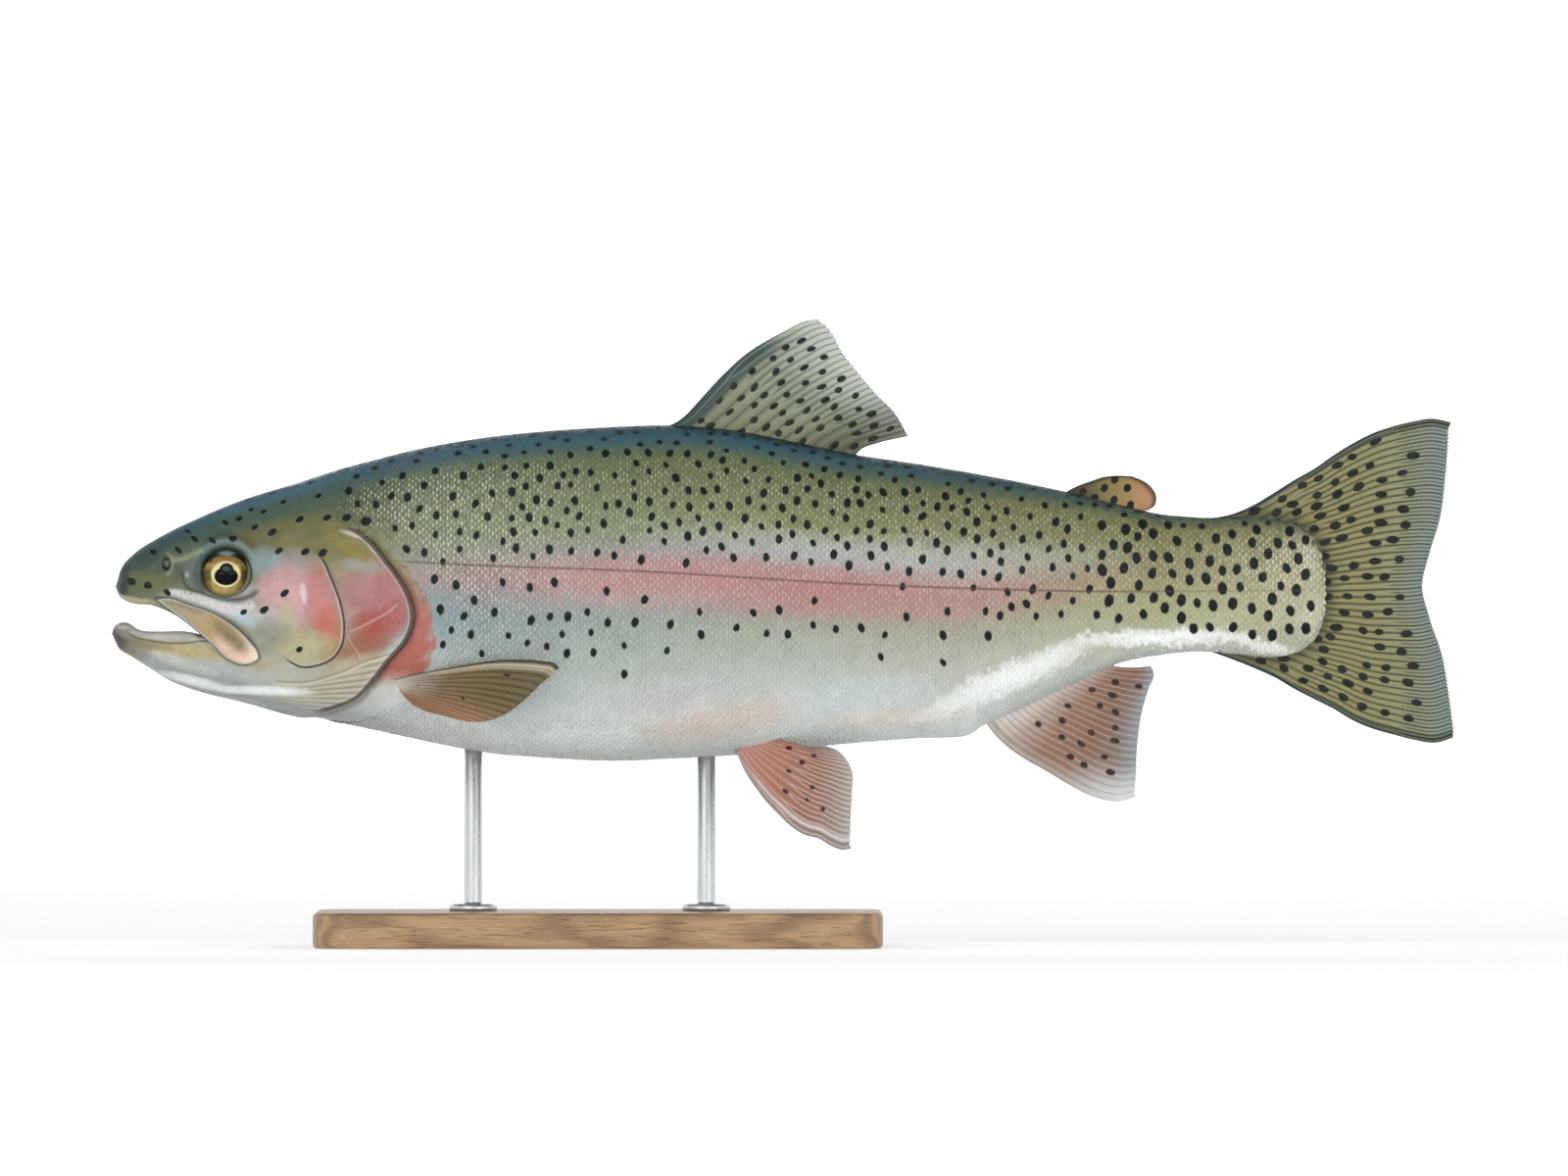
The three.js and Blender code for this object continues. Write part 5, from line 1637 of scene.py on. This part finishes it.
def finish_scales():
    nodes, shader = new_material("scale_finish", coat, Coat_Roughness=0.15, Specular_IOR_Level=0.16)
    marks = nodes.group("spotted_skin", Spot_Growth=0.1, Ragged=0.7, Mottle=0.14, Mottle_Scale=0.16,
                        Spot_Softness=nodes.between(nodes.mark("level"), 0.93, 0.97, 0.25, 0.8))
    own = nodes.add("UVMap", uv_map="Scale").outputs[0]
    split = nodes.add("SeparateXYZ", {0: own}).outputs
    tone, level, grown, crisp = (nodes.mark(name) for name in ("tone", "level", "grown", "crisp"))
    across = nodes.over(nodes.minus(split[0], 0.5), 0.42)
    along = nodes.over(nodes.minus(split[1], 0.82), 0.13)
    away = nodes.math("SQRT", nodes.plus(nodes.times(across, across), nodes.times(along, along)))
    off_back = nodes.times(nodes.between(level, 0.86, 0.95, 1.0, 0.05), grown)
    # Painted highlight on each scale's exposed middle, and painted shade round its margin.
    scale_highlight = nodes.times(nodes.between(away, 0.25, 1.05, 1.0, 0.0), off_back)
    edge = nodes.times(nodes.between(away, 0.95, 1.4), off_back)
    highlight_strength = nodes.times(nodes.between(level, 0.25, 0.7, 0.12, 0.24),
                         nodes.between(tone, 0.0, 1.0, 0.2, 1.6))
    highlight_strength = nodes.times(highlight_strength, nodes.between(crisp, 0.0, 1.0, 1.0, 1.9))
    unspotted = nodes.minus(1.0, marks["Spot"])
    pale = nodes.mix(nodes.times(nodes.times(scale_highlight, highlight_strength), unspotted), marks["Color"], "dcdac0")
    # Painted shade at the scales' margins.
    dark = nodes.times(nodes.between(level, 0.2, 0.7, 0.06, 0.16), nodes.between(crisp, 0.0, 1.0, 1.0, 2.2))
    edged = nodes.mix(nodes.times(edge, dark), pale, "343c2c")
    line = thin_line(nodes, nodes.mark("lateral"), 0.15, 0.45)
    x = nodes.add("SeparateXYZ", {0: nodes.place()}).outputs[0]
    drawn = nodes.mix(nodes.times(line, nodes.between(x, 100.0, 160.0, 0.62, 0.2)), edged, "5a4540")
    nodes.feed(shader.inputs["Base Color"], drawn)
    nodes.feed(shader.inputs["Roughness"], nodes.between(tone, 0.0, 1.0, 0.3, 0.5))
    nodes.feed(shader.inputs["Metallic"],
               nodes.times(nodes.between(level, 0.15, 0.6, 0.15, 0.0), unspotted))
    matt = nodes.times(unspotted, nodes.between(level, 0.84, 0.95, 1.0, 0.0))
    nodes.feed(shader.inputs["Coat Weight"], nodes.times(nodes.between(tone, 0.5, 1.0, 0.0, 0.3), matt))
    rings = nodes.math("SINE", nodes.times(away, 22.0))
    raise_surface(nodes, shader, rings, 0.015, 0.5)


def finish_fin(name, pieces, ray_colour, web_colour, ray_share, web_share, spot_colour, line_width):
    nodes, shader = new_material(name, pieces, Coat_Roughness=0.2, Specular_IOR_Level=0.16)
    marks = nodes.group("spotted_skin", Spot_Colour=rgba(spot_colour), Spot_Softness=0.2, Ragged=0.6,
                        Mottle=0.14, Mottle_Scale=0.35)
    rays = nodes.group("fin_rays", Color=marks["Color"],
                       Ray_Colour=rgba(ray_colour), Web_Colour=rgba(web_colour),
                       Ray_Share=nodes.times(nodes.minus(1.0, marks["Spot"]), ray_share),
                       Web_Share=web_share, Line_Width=line_width)
    nodes.feed(shader.inputs["Base Color"], rays["Color"])
    grain = nodes.group("bare_skin_grain", Scale=1.4)
    nodes.feed(shader.inputs["Roughness"], nodes.spread(grain["Gloss"], 0.34, 0.55))
    nodes.feed(shader.inputs["Coat Weight"], nodes.spread(grain["Gloss"], 0.2, 0.0))
    raise_surface(nodes, shader, rays["Height"], 0.12)


def finish_moist(name, pieces, scale, low, high, blotch_colour, rims=()):
    """Blotched bare skin, with rims (reach of the margin, fading at, colour) drawn round it."""
    nodes, shader = new_material(name, pieces, Coat_Roughness=0.1, Specular_IOR_Level=0.35)
    grain = nodes.group("bare_skin_grain", Scale=scale)
    blotch = nodes.between(nodes.noise(nodes.place(), 0.45, 4.0, 0.6), 0.35, 0.7)
    painted = nodes.mix(nodes.times(blotch, 0.22), nodes.mark("paint", "Color"), blotch_colour)
    for full, gone, text in rims:
        painted = nodes.mix(nodes.between(nodes.mark("margin"), full, gone, 0.9, 0.0), painted, text)
    nodes.feed(shader.inputs["Base Color"], painted)
    nodes.feed(shader.inputs["Roughness"], nodes.spread(grain["Gloss"], low, high))
    nodes.feed(shader.inputs["Coat Weight"], nodes.spread(grain["Gloss"], 0.4, 0.2))
    raise_surface(nodes, shader, grain["Height"], 0.2)


def finish_eyes():
    nodes, shader = new_material("eye_finish", eyes, Roughness=0.3, Coat_Weight=0.2, Coat_Roughness=0.03,
                                 Specular_IOR_Level=0.0)
    centre = (EYE_AT - TOTAL_LENGTH / 2, 0.0, EYE_UP + AXIS_HEIGHT)
    local = nodes.add("VectorMath", {0: nodes.place(), 1: centre}, operation="SUBTRACT").outputs[0]
    x, _, z = nodes.add("SeparateXYZ", {0: local}).outputs

    def oval(middle_x, middle_z, half_x, half_z):
        """Distance from a middle as a share of an oval's reach: 1 on the oval."""
        dx = nodes.over(nodes.minus(x, middle_x), half_x)
        dz = nodes.over(nodes.minus(z, middle_z), half_z)
        return nodes.math("SQRT", nodes.plus(nodes.times(dx, dx), nodes.times(dz, dz)))

    iris, ring = oval(-0.1, -0.7, 8.0, 6.9), oval(0.1, -0.25, 4.6, 4.15)
    pupil = nodes.math("SMOOTH_MIN", oval(0.15, -0.85, 4.0, 3.05), oval(0.3, 1.3, 2.4, 2.2), 0.12)
    facing = nodes.math("ARCTAN2", nodes.plus(z, 0.3), nodes.math("ABSOLUTE", x))
    spokes = nodes.add("CombineXYZ", {
        0: nodes.times(facing, 5.0), 1: nodes.times(ring, 1.4), 2: nodes.math("SIGN", x)})
    fibres = nodes.noise(spokes.outputs[0], 2.2, 5.0, 0.7)
    blotches = nodes.noise(local, 0.42, 4.0, 0.65)
    gold = nodes.mix(nodes.between(fibres, 0.35, 0.65), "7d6430", "b9a468")
    # Paler towards the bottom of the iris; darker towards its top, which is painted shade under the brow.
    gold = nodes.mix(nodes.between(z, -6.5, -3.5, 0.6, 0.0), gold, "cdb878")
    gold = nodes.mix(nodes.between(z, 1.5, 5.0, 0.0, 0.6), gold, "80652f")
    level = nodes.between(nodes.math("ABSOLUTE", nodes.plus(z, 0.6)), 1.0, 4.0, 1.0, 0.0)
    flank = nodes.times(nodes.between(nodes.math("ABSOLUTE", x), 4.2, 5.6), level)
    brown = nodes.math("MAXIMUM", nodes.times(flank, nodes.between(fibres, 0.3, 0.55)),
                       nodes.between(blotches, 0.56, 0.7))
    gold = nodes.mix(nodes.times(brown, 0.9), gold, "3d2f14")
    gold = nodes.mix(nodes.between(ring, 1.0, 1.14, 1.0, 0.0), gold, "dccb96")
    outer = nodes.mix(nodes.between(z, 5.2, 6.4), "22261f", "2b3534")
    sheen = nodes.times(nodes.between(oval(0.3, 6.8, 3.4, 1.1), 0.2, 1.2, 1.0, 0.0), 0.75)
    outer = nodes.mix(sheen, outer, "8fa2a0")
    rimmed = nodes.mix(nodes.between(iris, 0.93, 1.03), gold, outer)
    black = nodes.between(pupil, 0.94, 1.04, 1.0, 0.0)
    # Painted highlight, blue-grey, on the upper part of the pupil.
    pupil_highlight = nodes.mix(nodes.between(oval(0.4, 1.7, 1.9, 1.3), 0.2, 1.1, 0.55, 0.0), "030506", "4b5f66")
    nodes.feed(shader.inputs["Base Color"], nodes.mix(black, rimmed, pupil_highlight))
    nodes.feed(shader.inputs["Metallic"], nodes.times(nodes.minus(1.0, black), 0.2))
    raise_surface(nodes, shader, fibres, 0.05, 0.2)


def finish_wood():
    nodes, shader = new_material("oiled_wood", [board], IOR=1.5, Coat_Roughness=0.3)
    place = nodes.place()
    bend = nodes.noise(nodes.stretched(place, (0.012, 0.05, 0.05)), 1.0, 2.0)
    aside = nodes.add("CombineXYZ", {0: 0.0, 1: nodes.times(bend, 3.0), 2: 0.0}).outputs[0]
    straight = nodes.stretched(place, (0.02, 0.16, 0.16))
    bent = nodes.add("VectorMath", {0: straight, 1: aside}, operation="ADD").outputs[0]
    wave = {"Vector": bent, "Scale": 0.55, "Distortion": 2.5, "Detail": 3.0, "Detail Scale": 1.2}
    rings = nodes.add("TexWave", wave, bands_direction="Y").outputs["Fac"]
    fibres = nodes.noise(nodes.stretched(place, (0.05, 2.2, 2.2)), 1.0, 5.0, 0.65)
    pores = nodes.between(nodes.noise(nodes.stretched(place, (0.12, 3.4, 3.4)), 1.0, 2.0), 0.62, 0.72)
    wood = nodes.mix(rings, "8a6a48", "b08d64")
    wood = nodes.mix(nodes.times(nodes.between(fibres, 0.35, 0.7), 0.45), wood, "6f5236")
    wood = nodes.mix(nodes.times(pores, 0.55), wood, "4a3423")
    nodes.feed(shader.inputs["Base Color"], wood)
    nodes.feed(shader.inputs["Roughness"], nodes.spread(fibres, 0.38, 0.55))
    nodes.feed(shader.inputs["Coat Weight"], nodes.spread(fibres, 0.25, 0.1))
    raise_surface(nodes, shader, nodes.minus(fibres, pores), 0.12)


def finish_steel():
    nodes, shader = new_material("brushed_steel", rods, Metallic=1.0)
    place = nodes.place()
    brushing = nodes.noise(nodes.stretched(place, (0.4, 0.4, 6.0)), 1.0, 4.0, 0.7)
    smudges = nodes.noise(place, 0.12, 3.0)
    nodes.feed(shader.inputs["Base Color"],
               nodes.mix(nodes.between(brushing, 0.3, 0.7), "a9abad", "c6c8ca"))
    nodes.feed(shader.inputs["Roughness"],
               nodes.plus(nodes.spread(brushing, 0.2, 0.32), nodes.times(smudges, 0.12)))
    raise_surface(nodes, shader, brushing, 0.03, 0.5)


finish_skin()
finish_scales()
finish_fin("dorsal_finish", fins["dorsal"], "a5a992", "343c2c", 0.35, 0.62, "10160f", 1.7)
finish_fin("adipose_finish", fins["adipose"], "8a7c5c", "5a4c38", 0.0, 0.0, "1d1a14", 1.0)
finish_fin("tail_finish", fins["tail"], "a29c66", "20251a", 0.35, 0.9, "10160f", 1.35)
finish_fin("rosy_fin_finish", fins["rosy"], "d2c8c1", "6a463b", 0.6, 0.5, "33251f", 1.3)
finish_fin("brown_fin_finish", fins["brown"], "9c8354", "2a2015", 0.5, 0.9, "2a2118", 1.6)
finish_moist("lip_finish", jaw_bones, 1.2, 0.26, 0.45, "8f7f63",
             [(0.75, 1.3, "a5a69d"), (0.22, 0.5, "3d3a35")])
finish_moist("mouth_finish", [tongue], 0.9, 0.2, 0.4, "8d5f55")
finish_eyes()
finish_wood()
finish_steel()

# ---------------------------------------------------------------- studio, camera and lights

SWEEP_FLAT, SWEEP_TURN, SWEEP_HEIGHT = 10.0, 3.0, 8.0
FISH_MIDDLE = Vector((0, 0, AXIS_HEIGHT * MM))
LENS, SENSOR_WIDTH = 400, 36
WIDTH_SEEN, CAMERA_HEIGHT = 0.5248, 0.1201


def studio_sweep():
    """A round pale floor that turns up into a wall on every side."""
    angles = np.linspace(0, math.pi / 2, 17)
    turn = [(SWEEP_FLAT + SWEEP_TURN * math.sin(a), SWEEP_TURN * (1 - math.cos(a))) for a in angles]
    bm = revolved([(0, 0), (1, 0), *turn, (SWEEP_FLAT + SWEEP_TURN, SWEEP_HEIGHT)], 96, 1e-5)
    if min(bm.faces, key=lambda face: face.calc_center_median().length).normal.z < 0:
        bmesh.ops.reverse_faces(bm, faces=bm.faces)
    sweep = bpy.data.objects.new("studio_sweep", to_mesh(bm, "studio_sweep"))
    bpy.context.scene.collection.objects.link(sweep)
    nodes, shader = new_material(
        "studio_paper", [sweep], Roughness=1.0, Specular_IOR_Level=0.0, Emission_Color=(1, 1, 1, 1))
    away = nodes.add("VectorMath", {0: nodes.place()}, operation="LENGTH").outputs["Value"]
    nodes.feed(shader.inputs["Emission Strength"], nodes.between(away, 700.0, 3500.0, 0.42, 0.68))
    fibre = nodes.noise(nodes.place(), 0.02, 3.0)
    nodes.feed(shader.inputs["Base Color"], nodes.mix(fibre, "e2e2e1", "e8e8e7"))


# Name, place and size of each soft light in metres, and its power.
LIGHTS = [
    ("key", (-0.9, -1.5, 1.3), (1.4, 1.0), 5.9),
    ("fill", (1.3, -1.7, 0.7), (1.2, 1.2), 3.5),
    ("top", (0.2, 0.1, 1.9), (2.2, 1.4), 1.2),
    ("low_left", (-0.8, -1.6, 0.12), (0.8, 0.3), 2.1),
    ("low_right", (0.8, -1.6, 0.12), (0.8, 0.3), 2.1),
    ("behind", (0.4, 1.7, 0.9), (1.6, 0.8), 2.5),
]


def soft_light(name, place, size, power):
    light = bpy.data.lights.new(name, "AREA")
    light.shape, light.size, light.size_y = "RECTANGLE", *size
    light.energy = power
    holder = bpy.data.objects.new(name, light)
    holder.location = place
    holder.rotation_euler = (FISH_MIDDLE - Vector(place)).to_track_quat("-Z", "Y").to_euler()
    bpy.context.scene.collection.objects.link(holder)


def camera():
    lens = bpy.data.cameras.new("camera")
    lens.lens, lens.sensor_width = LENS, SENSOR_WIDTH
    lens.clip_start, lens.clip_end = 0.1, 50
    holder = bpy.data.objects.new("camera", lens)
    holder.location = (0, -WIDTH_SEEN * LENS / SENSOR_WIDTH, CAMERA_HEIGHT)
    holder.rotation_euler = (math.pi / 2, 0, 0)
    bpy.context.scene.collection.objects.link(holder)
    bpy.context.scene.camera = holder


studio_sweep()
camera()
for light in LIGHTS:
    soft_light(*light)

air = bpy.data.worlds.new("studio_air")
air.use_nodes = True
air.node_tree.nodes["Background"].inputs["Color"].default_value = (0.95, 0.97, 1, 1)
air.node_tree.nodes["Background"].inputs["Strength"].default_value = 0.3
bpy.context.scene.world = air
bpy.context.scene.view_settings.view_transform = "Standard"
